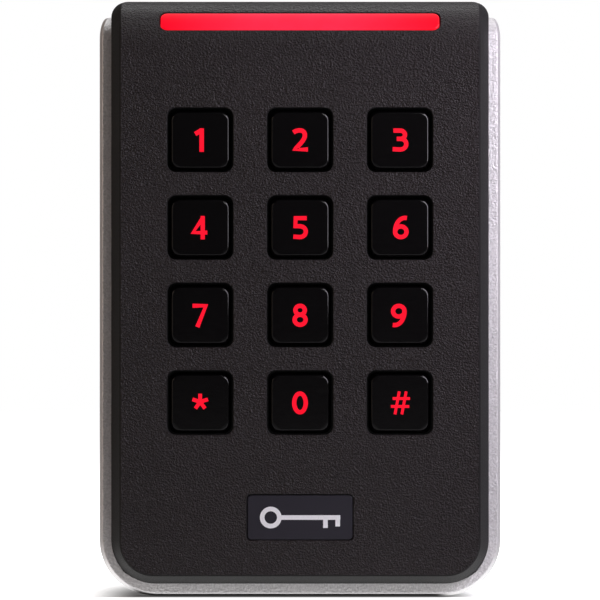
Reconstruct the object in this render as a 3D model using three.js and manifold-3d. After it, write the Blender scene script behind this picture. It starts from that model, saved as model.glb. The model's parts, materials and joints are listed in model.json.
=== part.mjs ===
// Keypad access reader for a wall box: black front cover over a silver rear housing.
// Millimetres. +X is right, +Y goes into the wall, +Z is up. The origin is the middle of the wall face.
import * as THREE from 'three';
import { mergeVertices } from 'three/addons/utils/BufferGeometryUtils.js';
import Module from 'manifold-3d';

const wasm = await Module();
wasm.setup();

// ---- driving sizes ----
const width = 80;
const height = 118;
const depth = 21.5;
const gap = 0.3; // between neighbouring pieces
const trimGap = 0.15; // round inlaid trim: legends, badge and mark

const right = width / 2;
const top = height / 2;
const bottom = -height / 2;
const face = -depth;

// mounting plate
const plateThick = 1.5;
const plateSideGap = 2.6;
const plateBottomGap = 2.6;
const plateTopGap = 2.4;
const plateCorner = 5;
const boxSpacingTall = 83.3; // fixing centres of the tall wall box
const boxSpacingWide = 60.3; // fixing centres of the round or square wall box
const slotWide = 3.9;
const slotLong = 7;
const wireWindow = { halfWidth: 17, near: 6, far: 30, corner: 3 };
const hook = { x: 14, width: 10, thick: 1.2, reach: 3.2, rise: 3.1 };
const tabThick = 1.5;
const tabReach = 4.7;
const tabWidth = 12;

// rear housing
const rearGap = 0.3; // the housing's rear edge stands this far off the wall
const ledge = -9.5;
const housingFlare = 0.8;
const housingWall = 2.4;
const housingCorner = 11;
const housingTop = top - 2.7;
const housingTopCorner = { x: 1.5, z: 4.2 };
const ledgeRollHeight = 4.6;
const ledgeRollEnd = -2;
const webRear = -6.5;
const webThick = 1.5;
const ledgeWide = 6; // from the housing's front edge in to the front bay

// front cover
const ledgeShownSide = 1.8;
const ledgeShownBottom = 2;
const coverFlare = 2;
const coverWall = 2.2;
const coverCorner = 8.6;
const coverTopCorner = 3;
const coverFrontTopCorner = 2;
const bendRadius = 9.8;
const roofRear = -1;
const crossBarHigh = 2;
const crossBarDeep = 2.5;

// keys
const keyPitchX = 19.6;
const keyPitchZ = 17.2;
const keypadZ = 5.6;
const well = { width: 12.9, height: 12.6, corner: 1.75 };
const keyGap = 0.35; // all round, between a key and its well
const keyFillet = 0.85;
const keyStandBack = 0.3; // key face behind the cover's face
const flangeOut = 0.85;
const flangeThick = 0.8;
const legendDeep = 0.6;
const legendStroke = 0.87;

// light bar in the rolled top edge
const bar = { width: 55.1, halfHeight: 2.19, corner: 1.5, tilt: THREE.MathUtils.degToRad(36) };
const lensGap = 0.2; // round the lens in its slot
const lensLip = 1;
const guideHalfHeight = 1.8;
const ledBoardHalfHeight = 3;
const guideThick = 1.4;
const ledBoardThick = 1;
const ledPost = { beyondBar: 2.9, radius: 1.4 };

// badge
const badge = { width: 20.6, height: 8.7, corner: 0.8, thick: 0.7, z: bottom + 16.3, standBack: 0.1 };
const markThick = 0.4;
const mark = {
  length: 15.8, ring: 2.15, ringWall: 0.95, shaft: 0.95,
  bits: [{ fromEnd: 3.2, long: 1.8 }, { fromEnd: 0.9, long: 1.5 }], bitWide: 0.9,
};

// keypad stack and electronics
const matBoss = { half: 4.2, corner: 1.5, high: 0.7 };
const matThick = 1;
const dome = { base: 3.4, crown: 1.6, rise: 0.4 };
const domeThick = 0.4;
const keypadBoardThick = 1.2;
const mainBoardThick = 1.4;
const mainBoardOffWeb = 0.8;
const ferriteThick = 0.5;
const coilInset = 0.4;
const shieldCan = { halfWidth: 14, low: -7, high: 19, corner: 1.2 };
const connector = { halfWidth: 7, low: -19, high: -14.5 };
const buzzer = { x: 12, belowScrew: 3, radius: 4.5 };
const gasket = { inset: 0.6, wide: 1, high: 0.8, groove: 0.3, corner: 6, belowRoll: 0.4 };
const terminal = {
  pitch: 5.08, screwUp: 1.4, screwRadius: 1.7, screwDeep: 2.2, mouthHalf: 1.5, mouthHigh: 2.4,
};
const windowClearance = 0.8; // round the terminals and through the web

// screws
const coverScrew = { shank: 1.2, head: 2.6, headThick: 1.5, length: 8.5, boss: 2.7 };
const boardScrew = { shank: 0.8, head: 1.7, headThick: 1, length: 3.6, boss: 2 };
const mainScrew = { shank: 0.8, head: 1.9, headThick: 1.1, length: 3.2, boss: 2.4 };
const keeperScrew = { shank: 1.45, head: 2.8, headThick: 1.2, length: 6.3, y: -3.9, counterbore: 2 };

// ---- sizes that follow ----
const housingFront = { // the ledge's outer edge
  halfWidth: right - housingFlare, bottom: bottom + housingFlare, top: housingTop,
  corner: housingCorner, topCorner: housingTopCorner,
};
const housingRear = {
  halfWidth: right, bottom, top: housingTop, corner: housingCorner, topCorner: housingTopCorner,
};
const coverRear = {
  halfWidth: housingFront.halfWidth - ledgeShownSide,
  bottom: housingFront.bottom + ledgeShownBottom,
  top,
  corner: coverCorner,
  topCorner: { x: coverTopCorner, z: coverTopCorner },
};
const coverFront = {
  halfWidth: coverRear.halfWidth - coverFlare,
  bottom: coverRear.bottom + coverFlare,
  top,
  corner: coverCorner - coverFlare,
  topCorner: { x: coverFrontTopCorner, z: coverFrontTopCorner },
};
const ledPostX = bar.width / 2 + ledPost.beyondBar;
const bendZ = top - bendRadius;
const bendY = face + bendRadius;
const innerFace = face + coverWall;
const webFront = webRear - webThick;
const coverEdge = ledge - gap;
const bayHalfWidth = housingFront.halfWidth - ledgeWide;
const bayBottom = housingFront.bottom + ledgeWide;
const bayTop = housingTop - ledgeRollHeight - 3.2;

const cap = {
  width: well.width - 2 * keyGap, height: well.height - 2 * keyGap, corner: well.corner - keyGap,
  face: face + keyStandBack, flange: innerFace + gap, rear: innerFace + gap + flangeThick,
};
const matBossFront = cap.rear + gap;
const matFront = matBossFront + matBoss.high;
const matRear = matFront + matThick;
const domeFront = matRear + gap + dome.rise;
const domeRear = domeFront + domeThick;
const keypadBoardFront = domeRear + gap;
const keypadBoardRear = keypadBoardFront + keypadBoardThick;
const mainBoardRear = webFront - mainBoardOffWeb;
const mainBoardFront = mainBoardRear - mainBoardThick;
const onBoardRear = mainBoardFront - gap;
const onBoardFront = keypadBoardRear + gap;
const blockRear = -3;

const screwX = bayHalfWidth - coverScrew.boss - 0.7;
const keypadBoard = { // reaches a little past the outermost wells
  halfWidth: keyPitchX + well.width / 2 + 0.45,
  halfHeight: 1.5 * keyPitchZ + well.height / 2 + 2.4,
};
const besideKeypad = keypadBoard.halfHeight + gap + coverScrew.boss;
const screwZ = [keypadZ + besideKeypad, keypadZ - besideKeypad, bottom + 10.8];
const boardHalfWidth = screwX - coverScrew.boss - 0.6;
const mainBoardHalfHeight = 44;
const coil = { halfWidth: boardHalfWidth - 0.3, halfHeight: mainBoardHalfHeight - 1, wide: 3.7, corner: 4 };
const blockZ = 24;
const block = { halfWidth: 12.9, halfHeight: 4.5 };
const mainScrewZ = blockZ + block.halfHeight + 6.5;
const tamper = { x: 21, halfWidth: 2, halfHeight: 1.5, clear: 1.2, rear: webRear - 0.4 };

// ---- shape tools ----

// closed solid from any closed geometry, with its shared vertices merged
function solidOf(geometry) {
  const plain = geometry.index ? geometry.toNonIndexed() : geometry.clone();
  plain.deleteAttribute('normal');
  plain.deleteAttribute('uv');
  const merged = mergeVertices(plain, 1e-4);
  return new wasm.Manifold(new wasm.Mesh({
    numProp: 3,
    vertProperties: new Float32Array(merged.attributes.position.array),
    triVerts: new Uint32Array(merged.index.array),
  }));
}

function geometryOf(solid) {
  const { vertProperties, triVerts } = solid.getMesh();
  const geometry = new THREE.BufferGeometry();
  geometry.setAttribute('position', new THREE.BufferAttribute(new Float32Array(vertProperties), 3));
  geometry.setIndex(new THREE.BufferAttribute(new Uint32Array(triVerts), 1));
  geometry.computeVertexNormals();
  return geometry;
}

function join(first, ...rest) {
  return rest.reduce((sum, piece) => sum.add(piece), first);
}

function cut(first, ...rest) {
  return rest.reduce((left, piece) => left.subtract(piece), first);
}

function box(x0, x1, y0, y1, z0, z1) {
  const geometry = new THREE.BoxGeometry(x1 - x0, y1 - y0, z1 - z0);
  geometry.translate((x0 + x1) / 2, (y0 + y1) / 2, (z0 + z1) / 2);
  return solidOf(geometry);
}

// a round rod from front to rear
function rodY(x, z, radius, y0, y1, sides = 12) {
  const geometry = new THREE.CylinderGeometry(radius, radius, y1 - y0, sides);
  geometry.translate(x, (y0 + y1) / 2, z);
  return solidOf(geometry);
}

// an upright round rod
function rodZ(x, y, radius, z0, z1, sides = 16) {
  const geometry = new THREE.CylinderGeometry(radius, radius, z1 - z0, sides);
  geometry.rotateX(Math.PI / 2);
  geometry.translate(x, y, (z0 + z1) / 2);
  return solidOf(geometry);
}

// rounded rectangle in the X-Z plane
function roundedRectangle(x0, x1, z0, z1, corner, Kind = THREE.Shape) {
  const outline = new Kind();
  outline.absarc(x1 - corner, z1 - corner, corner, 0, Math.PI / 2);
  outline.absarc(x0 + corner, z1 - corner, corner, Math.PI / 2, Math.PI);
  outline.absarc(x0 + corner, z0 + corner, corner, Math.PI, 1.5 * Math.PI);
  outline.absarc(x1 - corner, z0 + corner, corner, 1.5 * Math.PI, 2 * Math.PI);
  outline.closePath();
  return outline;
}

// a flat shape in X-Z, given thickness from y0 back to y1
function slab(shape, y0, y1, curveSegments = 2) {
  const geometry = new THREE.ExtrudeGeometry(shape, { depth: y1 - y0, bevelEnabled: false, curveSegments });
  geometry.rotateX(Math.PI / 2);
  geometry.translate(0, y1, 0);
  return solidOf(geometry);
}

function roundedSlab(x0, x1, z0, z1, corner, y0, y1) {
  return slab(roundedRectangle(x0, x1, z0, z1, corner), y0, y1);
}

// walls and end caps over a stack of rings, listed from front to rear; each ring runs
// anticlockwise as seen from the front
function stackRings(rings, capTriangles) {
  const count = rings[0].length;
  const positions = rings.flat(2);
  const triangles = [];
  for (let level = 0; level < rings.length - 1; level += 1) {
    for (let i = 0; i < count; i += 1) {
      const a = level * count + i;
      const b = level * count + ((i + 1) % count);
      triangles.push(a, a + count, b + count);
      triangles.push(a, b + count, b);
    }
  }
  const rear = (rings.length - 1) * count;
  for (const [a, b, c] of capTriangles(count)) {
    triangles.push(a, b, c);
    triangles.push(rear + a, rear + c, rear + b);
  }
  return new wasm.Manifold(new wasm.Mesh({
    numProp: 3,
    vertProperties: new Float32Array(positions),
    triVerts: new Uint32Array(triangles),
  }));
}

function fanCap(count) {
  return Array.from({ length: count - 2 }, (_, i) => [0, i + 1, i + 2]);
}

// left-to-right strips between the points that mirror each other
function stripCap(count) {
  const strips = [];
  for (let i = 0; i < count / 2 - 1; i += 1) {
    const left = count - 1 - i;
    strips.push([left, i, i + 1], [left, i + 1, left - 1]);
  }
  return strips;
}

// the outline of a shell as a ring: right side going up, then left side going down
function shellRing(outline, bendStart, yAt) {
  const { halfWidth, corner, topCorner } = outline;
  const side = [];
  const cornerSteps = 8;
  const bendSteps = 6;
  const topSteps = 4;
  for (let i = 0; i <= cornerSteps; i += 1) {
    const angle = (i / cornerSteps - 1) * Math.PI / 2;
    side.push([
      halfWidth - corner + corner * Math.cos(angle),
      outline.bottom + corner + corner * Math.sin(angle),
    ]);
  }
  const straightEnd = outline.top - topCorner.z;
  for (let i = 0; i < bendSteps; i += 1) {
    side.push([halfWidth, bendStart + (straightEnd - bendStart) * i / bendSteps]);
  }
  for (let i = 0; i <= topSteps; i += 1) {
    const angle = i / topSteps * Math.PI / 2;
    side.push([
      halfWidth - topCorner.x + topCorner.x * Math.cos(angle),
      straightEnd + topCorner.z * Math.sin(angle),
    ]);
  }
  const rightSide = side.map(([x, z]) => [x, yAt(z), z]);
  const leftSide = side.map(([x, z]) => [-x, yAt(z), z]).reverse();
  return [...rightSide, ...leftSide];
}

function inset(outline, by, topBy = by) {
  return {
    halfWidth: outline.halfWidth - by,
    bottom: outline.bottom + by,
    top: outline.top - topBy,
    corner: outline.corner - by,
    topCorner: {
      x: Math.max(outline.topCorner.x - by, 0.4),
      z: Math.max(outline.topCorner.z - by, 0.4),
    },
  };
}

// the cover's block: flat face, rolled top edge, flared sides
function coverBlock(by, rearY) {
  const radius = bendRadius - by;
  const faceAt = (z) => {
    const up = Math.min(Math.max(z - bendZ, 0), radius);
    return bendY - Math.sqrt(radius * radius - up * up);
  };
  const front = shellRing(inset(coverFront, by), bendZ, faceAt);
  const edge = shellRing(inset(coverRear, by), bendZ, (z) => Math.max(coverEdge, faceAt(z) + 0.01));
  const rear = shellRing(inset(coverRear, by), bendZ, () => rearY);
  return stackRings([front, edge, rear], stripCap);
}

// the housing's block: flared sides, and a front edge that rolls back at the top
function housingBlock(out) {
  const rollStart = housingTop - ledgeRollHeight;
  const edgeAt = (z) => {
    const up = Math.min(Math.max((z - rollStart) / (ledgeRollHeight + out), 0), 1);
    return ledgeRollEnd - out + (ledge - ledgeRollEnd) * Math.sqrt(1 - up * up);
  };
  const front = shellRing(inset(housingFront, -out), rollStart, edgeAt);
  const rear = shellRing(inset(housingRear, -out), rollStart, () => -rearGap + out);
  return stackRings([front, rear], stripCap);
}

// a flat band along a centre line in X-Z, given thickness from y0 to y1
function ribbon(points, bandWidth, y0, y1) {
  const left = [];
  const opposite = [];
  points.forEach((point, i) => {
    const before = i > 0 ? point.clone().sub(points[i - 1]).normalize() : null;
    const after = i < points.length - 1 ? points[i + 1].clone().sub(point).normalize() : null;
    const along = (before && after ? before.clone().add(after) : (before ?? after).clone()).normalize();
    const stretch = before ? 1 / along.dot(before) : 1;
    const aside = new THREE.Vector2(-along.y, along.x).multiplyScalar(bandWidth / 2 * stretch);
    left.push(point.clone().add(aside));
    opposite.unshift(point.clone().sub(aside));
  });
  return slab(new THREE.Shape([...opposite.reverse(), ...left.reverse()]), y0, y1);
}

// a closed oval band
function oval(x, z, radiusX, radiusZ, bandWidth, y0, y1) {
  const half = bandWidth / 2;
  const shape = new THREE.Shape();
  shape.absellipse(x, z, radiusX + half, radiusZ + half, 0, 2 * Math.PI);
  const hole = new THREE.Path();
  hole.absellipse(x, z, radiusX - half, radiusZ - half, 0, 2 * Math.PI);
  shape.holes.push(hole);
  return slab(shape, y0, y1, 7);
}

// ---- legends ----

function line(...coordinates) {
  const points = [];
  for (let i = 0; i < coordinates.length; i += 2) {
    points.push(new THREE.Vector2(coordinates[i], coordinates[i + 1]));
  }
  return points;
}

function curve(startX, startZ, ...pieces) {
  const path = new THREE.Path();
  path.moveTo(startX, startZ);
  for (const piece of pieces) {
    if (piece.length === 2) {
      path.lineTo(...piece);
    } else {
      path.bezierCurveTo(...piece);
    }
  }
  return path.getPoints(6);
}

const sixTail = curve(1.38, 1.9, [0.1, 2.15, -0.95, 0.9, -0.92, -0.85]);

// centre lines of each legend, about the middle of its key
const legends = {
  1: { strokes: [line(0.29, 2.3, 0.29, -2.3), line(-0.98, 1.2, 0.4, 2)] },
  2: {
    strokes: [
      curve(
        -1.3, 1.5,
        [-0.4, 2.15, 1.05, 2.1, 0.95, 0.85], [0.9, 0.1, 0.1, -0.7, -1.0, -1.83], [1.55, -1.83],
      ),
    ],
  },
  3: {
    strokes: [
      curve(-1.25, 1.87, [0.1, 1.87], [1.3, 1.8, 1.3, 0.35, 0.2, 0.25], [-0.6, 0.25]),
      curve(-0.5, 0.25, [0.2, 0.25], [1.7, 0.15, 1.6, -1.8, 0.05, -1.85], [-1.4, -1.78]),
    ],
  },
  4: { strokes: [line(0.5, 2.3, 0.5, -2.3), line(1.4, -0.95, -1.4, -0.95, 0.55, 1.95)] },
  5: {
    strokes: [
      curve(
        1.32, 1.87,
        [-0.85, 1.87], [-0.9, 0.3], [-0.1, 0.3], [1.6, 0.25, 1.5, -1.8, -0.05, -1.85], [-1.3, -1.75],
      ),
    ],
  },
  6: { strokes: [sixTail], ovals: [[0.2, -0.8, 1.12, 1.05]] },
  7: { strokes: [line(-1.5, 1.87, 1.12, 1.87, -0.55, -2.3)] },
  8: { ovals: [[0.02, 1, 0.92, 0.86], [0.02, -0.88, 1.08, 0.98]] },
  9: { strokes: [sixTail.map((point) => point.clone().negate())], ovals: [[-0.2, 0.8, 1.12, 1.05]] },
  star: {
    strokes: [0, 1, 2, 3, 4].map((arm) => {
      const angle = Math.PI / 2 + arm * 2 * Math.PI / 5;
      return line(0, 0.2, 1.6 * Math.cos(angle), 0.2 + 1.6 * Math.sin(angle));
    }),
    width: 0.8,
  },
  0: { ovals: [[0, 0, 1.13, 1.84]] },
  hash: {
    strokes: [
      line(-0.95, -2.25, -0.1, 2.25),
      line(0.4, -2.25, 1.25, 2.25),
      line(-1.4, 0.85, 2, 0.85),
      line(-1.75, -0.7, 1.85, -0.7),
    ],
    width: 0.62,
  },
};

function legendSolid(name, grow, y0, y1) {
  const { strokes = [], ovals = [], width: thin } = legends[name];
  const band = (thin ?? legendStroke) + 2 * grow;
  const pieces = [
    ...strokes.map((points) => ribbon(lengthened(points, grow), band, y0, y1)),
    ...ovals.map(([x, z, radiusX, radiusZ]) => oval(x, z, radiusX, radiusZ, band, y0, y1)),
  ];
  return join(...pieces);
}

// both ends of a centre line drawn out
function lengthened(points, by) {
  const longer = points.map((point) => point.clone());
  const last = longer.length - 1;
  longer[0].add(points[0].clone().sub(points[1]).setLength(by));
  longer[last].add(points[last].clone().sub(points[last - 1]).setLength(by));
  return longer;
}

// ---- pieces ----
const group = new THREE.Group();

function add(name, solid, color, roughness, metalness = 0, place = [0, 0, 0]) {
  const mesh = new THREE.Mesh(
    geometryOf(solid),
    new THREE.MeshStandardMaterial({ color, roughness, metalness }),
  );
  mesh.name = name;
  mesh.position.set(...place);
  group.add(mesh);
  return mesh;
}

// steel wall plate with two hooks at the top and a tapped tab at the bottom
function mountingPlate() {
  const halfWidth = right - housingWall - plateSideGap;
  const lower = bottom + housingWall + plateBottomGap;
  const upper = housingTop - housingWall - plateTopGap;
  const outline = roundedRectangle(-halfWidth, halfWidth, lower, upper, plateCorner);
  for (const side of [-1, 1]) {
    const [z0, z1] = [side * wireWindow.near, side * wireWindow.far].sort((a, b) => a - b);
    const wide = wireWindow.halfWidth;
    outline.holes.push(
      roundedRectangle(-wide, wide, z0, z1, wireWindow.corner, THREE.Path),
      slotHole(0, side * boxSpacingTall / 2, slotLong, slotWide),
      slotHole(side * boxSpacingWide / 2, 0, slotWide, slotLong),
    );
  }
  const hooks = [-1, 1].map((side) => {
    const [x0, x1] = [side * hook.x - hook.width / 2, side * hook.x + hook.width / 2];
    const frontY = -plateThick - hook.reach;
    return join(
      box(x0, x1, frontY, -plateThick + 0.2, upper - hook.thick, upper),
      box(x0, x1, frontY, frontY + hook.thick, upper - hook.thick, upper - hook.thick + hook.rise),
    );
  });
  const tab = cut(
    box(-tabWidth / 2, tabWidth / 2, -plateThick - tabReach, -plateThick + 0.2, lower, lower + tabThick),
    rodZ(0, keeperScrew.y, keeperScrew.shank + gap, lower - 1, lower + tabThick + 1),
  );
  return join(slab(outline, -plateThick, 0), ...hooks, tab);
}

function slotHole(x, z, wide, tall) {
  const corner = Math.min(wide, tall) / 2 - 0.01;
  return roundedRectangle(x - wide / 2, x + wide / 2, z - tall / 2, z + tall / 2, corner, THREE.Path);
}

function crossSlotScrew({ shank, head, headThick, length }, sides = 12) {
  // head towards -Y, tip towards +Y, seat at y = 0
  const body = join(rodY(0, 0, head, -headThick, 0, sides), rodY(0, 0, shank, -0.1, length, 8));
  const deep = -headThick * 0.45;
  const arm = head * 0.6;
  const slot = head * 0.13;
  return cut(
    body,
    box(-arm, arm, -headThick - 1, deep, -slot, slot),
    box(-slot, slot, -headThick - 1, deep, -arm, arm),
  );
}

function gasketRing(outer, inner, y0, y1) {
  const ring = (by, topZ) => roundedRectangle(
    -coverRear.halfWidth + by, coverRear.halfWidth - by, coverRear.bottom + by, topZ, gasket.corner,
  );
  const barTop = housingTop - ledgeRollHeight - gasket.belowRoll;
  return cut(
    slab(ring(outer, barTop - outer), y0, y1),
    slab(ring(inner, barTop - inner), y0 - 1, y1 + 1),
  );
}

function rearHousing() {
  const bay = {
    halfWidth: right - housingWall, bottom: bottom + housingWall, top: housingTop - housingWall,
  };
  const lipX = hook.width / 2 + 2;
  const plateTop = housingTop - housingWall - plateTopGap;
  const lips = [-1, 1].map((side) => box(
    side * hook.x - lipX, side * hook.x + lipX,
    -plateThick - hook.reach + hook.thick + gap, -plateThick - gap,
    plateTop + gap, bay.top + 0.3,
  ));
  const keeperPad = box(
    -tabWidth / 2, tabWidth / 2, webRear - 0.2, -plateThick - gap,
    bay.bottom - 0.3, bay.bottom + plateBottomGap - 0.5,
  );
  const mainPosts = [-1, 1].map((side) => (
    rodY(0, side * mainScrewZ, mainScrew.boss, mainBoardRear + gap, webRear - 0.5)
  ));
  const hollow = [
    roundedSlab(-bay.halfWidth, bay.halfWidth, bay.bottom, bay.top, 6, webRear, 5),
    roundedSlab(-bayHalfWidth, bayHalfWidth, bayBottom, bayTop, 4, ledge - 5, webFront),
  ];
  const holes = [
    gasketRing(
      gasket.inset - gasket.groove, gasket.inset + gasket.wide + gasket.groove,
      ledge - 5, ledge + gasket.high + gasket.groove,
    ),
    box(
      tamper.x - tamper.halfWidth - tamper.clear, tamper.x + tamper.halfWidth + tamper.clear,
      webFront - 1, webRear + 1, -tamper.halfHeight - tamper.clear, tamper.halfHeight + tamper.clear,
    ),
    rodZ(0, keeperScrew.y, keeperScrew.shank + gap, bottom - 1, bay.bottom + plateBottomGap + 1),
    rodZ(0, keeperScrew.y, keeperScrew.head + gap, bottom - 1, bottom + keeperScrew.counterbore),
  ];
  for (const side of [-1, 1]) {
    const z = side * blockZ;
    holes.push(
      roundedSlab(
        -block.halfWidth - windowClearance, block.halfWidth + windowClearance,
        z - block.halfHeight - windowClearance, z + block.halfHeight + windowClearance,
        1, webFront - 1, webRear + 1,
      ),
      rodY(0, side * mainScrewZ, mainScrew.shank + gap, webFront - 3, webRear + 1),
    );
    for (const screwHeight of screwZ) {
      holes.push(rodY(side * screwX, screwHeight, coverScrew.shank + gap, ledge - 5, webRear + 1));
    }
  }
  return cut(join(cut(housingBlock(0), ...hollow), ...lips, keeperPad, ...mainPosts), ...holes);
}

// places something in the light bar's own frame: out along the bend's radius, about the bend's axis
function atBend(solid) {
  const angle = THREE.MathUtils.radToDeg(-bar.tilt);
  return solid.rotate([angle, 0, 0]).translate([0, bendY, bendZ]);
}

function bendBand(inner, outer, halfLength) {
  const sides = 56;
  const roll = (radius, half) => {
    const geometry = new THREE.CylinderGeometry(radius, radius, 2 * half, sides);
    geometry.rotateZ(Math.PI / 2);
    return solidOf(geometry);
  };
  return cut(roll(outer, halfLength), roll(inner, halfLength + 1));
}

function barPrism(by) {
  const [halfWidth, halfHeight] = [bar.width / 2 + by, bar.halfHeight + by];
  return roundedSlab(
    -halfWidth, halfWidth, -halfHeight, halfHeight, Math.max(bar.corner + by, 0.5), -bendRadius - 3, -1,
  );
}

const keyNames = [['1', '2', '3'], ['4', '5', '6'], ['7', '8', '9'], ['star', '0', 'hash']];
const keys = keyNames.flatMap((row, down) => row.map((name, across) => ({
  name,
  x: (across - 1) * keyPitchX,
  z: keypadZ + (1.5 - down) * keyPitchZ,
})));

// where the keypad board screws to the cover, between the keys
const boardScrews = [-1, 1].flatMap((up) => [-1, 1].map((side) => ({
  x: side * keyPitchX / 2, z: keypadZ + up * keyPitchZ,
})));

function frontCover() {
  const envelope = housingBlock(gap);
  const shell = cut(coverBlock(0, roofRear), coverBlock(coverWall, 5), envelope);
  const sideIn = coverRear.halfWidth - coverWall + 0.5;
  const barTop = housingTop - ledgeRollHeight - 0.2;
  const crossBar = box(-sideIn, sideIn, coverEdge - crossBarDeep, coverEdge, barTop - crossBarHigh, barTop);
  const bosses = [];
  const holes = [];
  for (const side of [-1, 1]) {
    for (const z of screwZ) {
      bosses.push(rodY(side * screwX, z, coverScrew.boss, innerFace - 0.5, webFront - gap));
      holes.push(rodY(side * screwX, z, coverScrew.shank + gap, innerFace + 2, webFront + 1));
    }
    const post = rodY(side * ledPostX, 0, ledPost.radius, -bendRadius + 0.8, -guideSpan().boardFront - gap);
    bosses.push(atBend(post));
  }
  for (const { x, z } of boardScrews) {
    bosses.push(rodY(x, z, boardScrew.boss, innerFace - 0.5, keypadBoardFront - gap));
    holes.push(rodY(x, z, boardScrew.shank + gap, innerFace + 1, keypadBoardFront + 1));
  }
  for (const { x, z } of keys) {
    holes.push(roundedSlab(
      x - well.width / 2, x + well.width / 2, z - well.height / 2, z + well.height / 2,
      well.corner, face - 1, innerFace + 1,
    ));
  }
  holes.push(atBend(barPrism(0).intersect(bendBand(bendRadius - coverWall - 1, bendRadius + 2, bar.width))));
  holes.push(roundedSlab(
    -badge.width / 2 - trimGap, badge.width / 2 + trimGap,
    badge.z - badge.height / 2 - trimGap, badge.z + badge.height / 2 + trimGap,
    badge.corner, face - 1, face + badge.standBack + badge.thick + trimGap,
  ));
  return cut(join(shell, crossBar, ...bosses), ...holes);
}

// radii of the stack behind the lens, measured from the bend's axis
function guideSpan() {
  const lensRear = bendRadius - coverWall - gap - lensLip;
  const guideFront = lensRear - gap;
  const guideRear = guideFront - guideThick;
  return { lensRear, guideFront, guideRear, boardFront: guideRear - gap };
}

function lightBarLens() {
  const { lensRear } = guideSpan();
  const long = bar.width;
  const windowPiece = barPrism(-lensGap).intersect(bendBand(lensRear, bendRadius, long));
  const lip = barPrism(lensLip).intersect(bendBand(lensRear, bendRadius - coverWall - gap, long));
  return atBend(join(windowPiece, lip));
}

function lightGuide() {
  const { guideFront, guideRear } = guideSpan();
  const halfWidth = ledPostX - ledPost.radius - 1.2;
  return atBend(box(-halfWidth, halfWidth, -guideFront, -guideRear, -guideHalfHeight, guideHalfHeight));
}

function ledBoard() {
  const { boardFront } = guideSpan();
  const halfWidth = ledPostX + ledPost.radius + 0.6;
  return atBend(roundedSlab(
    -halfWidth, halfWidth, -ledBoardHalfHeight, ledBoardHalfHeight,
    0.8, -boardFront, -boardFront + ledBoardThick,
  ));
}

function keyRing(halfWidth, halfHeight, corner, y) {
  const ring = [];
  const steps = 2;
  const centres = [[1, 1], [-1, 1], [-1, -1], [1, -1]];
  centres.forEach(([sideX, sideZ], quarter) => {
    for (let i = 0; i <= steps; i += 1) {
      const angle = (quarter + i / steps) * Math.PI / 2;
      ring.push([
        sideX * (halfWidth - corner) + corner * Math.cos(angle),
        y,
        sideZ * (halfHeight - corner) + corner * Math.sin(angle),
      ]);
    }
  });
  return ring;
}

function keyCap(name) {
  const [halfWidth, halfHeight] = [cap.width / 2, cap.height / 2];
  const rings = [0, 1, 2, 3].map((step) => {
    const angle = step / 3 * Math.PI / 2;
    const by = keyFillet * (1 - Math.sin(angle));
    const y = cap.face + keyFillet * (1 - Math.cos(angle));
    return keyRing(halfWidth - by, halfHeight - by, cap.corner - by * 0.6, y);
  });
  const flange = [halfWidth + flangeOut, halfHeight + flangeOut, cap.corner];
  rings.push(keyRing(halfWidth, halfHeight, cap.corner, cap.flange));
  rings.push(keyRing(...flange, cap.flange), keyRing(...flange, cap.rear));
  const pocket = legendSolid(name, trimGap, cap.face - 1, cap.face + legendDeep + trimGap);
  return cut(stackRings(rings, fanCap), pocket);
}

// a rounded sheet the size of the keypad board
function keypadSheet(y0, y1) {
  const { halfWidth, halfHeight } = keypadBoard;
  return roundedSlab(-halfWidth, halfWidth, keypadZ - halfHeight, keypadZ + halfHeight, 2, y0, y1);
}

function boardScrewHoles(radius, y0, y1) {
  return boardScrews.map(({ x, z }) => rodY(x, z, radius, y0 - 1, y1 + 1));
}

function keypadMat() {
  const { half, corner } = matBoss;
  const bosses = keys.map(({ x, z }) => (
    roundedSlab(x - half, x + half, z - half, z + half, corner, matBossFront, matFront + 0.2)
  ));
  const sheet = join(keypadSheet(matFront, matRear), ...bosses);
  return cut(sheet, ...boardScrewHoles(boardScrew.boss + gap, matBossFront, matRear));
}

function domeSheet() {
  const domes = keys.map(({ x, z }) => {
    const high = dome.rise + 0.1; // sunk a little into the sheet
    const geometry = new THREE.CylinderGeometry(dome.base, dome.crown, high, 8);
    geometry.translate(x, domeFront + 0.1 - high / 2, z);
    return solidOf(geometry);
  });
  const sheet = join(keypadSheet(domeFront, domeRear), ...domes);
  return cut(sheet, ...boardScrewHoles(boardScrew.boss + gap, domeFront, domeRear));
}

function keypadCircuitBoard() {
  const sheet = keypadSheet(keypadBoardFront, keypadBoardRear);
  return cut(sheet, ...boardScrewHoles(boardScrew.shank + gap, keypadBoardFront, keypadBoardRear));
}

function mainBoard() {
  const sheet = roundedSlab(
    -boardHalfWidth, boardHalfWidth, -mainBoardHalfHeight, mainBoardHalfHeight,
    3, mainBoardFront, mainBoardRear,
  );
  const holes = [-1, 1].map((side) => (
    rodY(0, side * mainScrewZ, mainScrew.shank + gap, mainBoardFront - 1, mainBoardRear + 1)
  ));
  return cut(sheet, ...holes);
}

function coilRing(y0, y1, by = 0) {
  const { wide, corner } = coil;
  const [outerX, outerZ] = [coil.halfWidth - by, coil.halfHeight - by];
  const outline = roundedRectangle(-outerX, outerX, -outerZ, outerZ, corner);
  const [innerX, innerZ] = [coil.halfWidth - wide + by, coil.halfHeight - wide + by];
  outline.holes.push(roundedRectangle(-innerX, innerX, -innerZ, innerZ, corner - 1.5, THREE.Path));
  return slab(outline, y0, y1);
}

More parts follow.
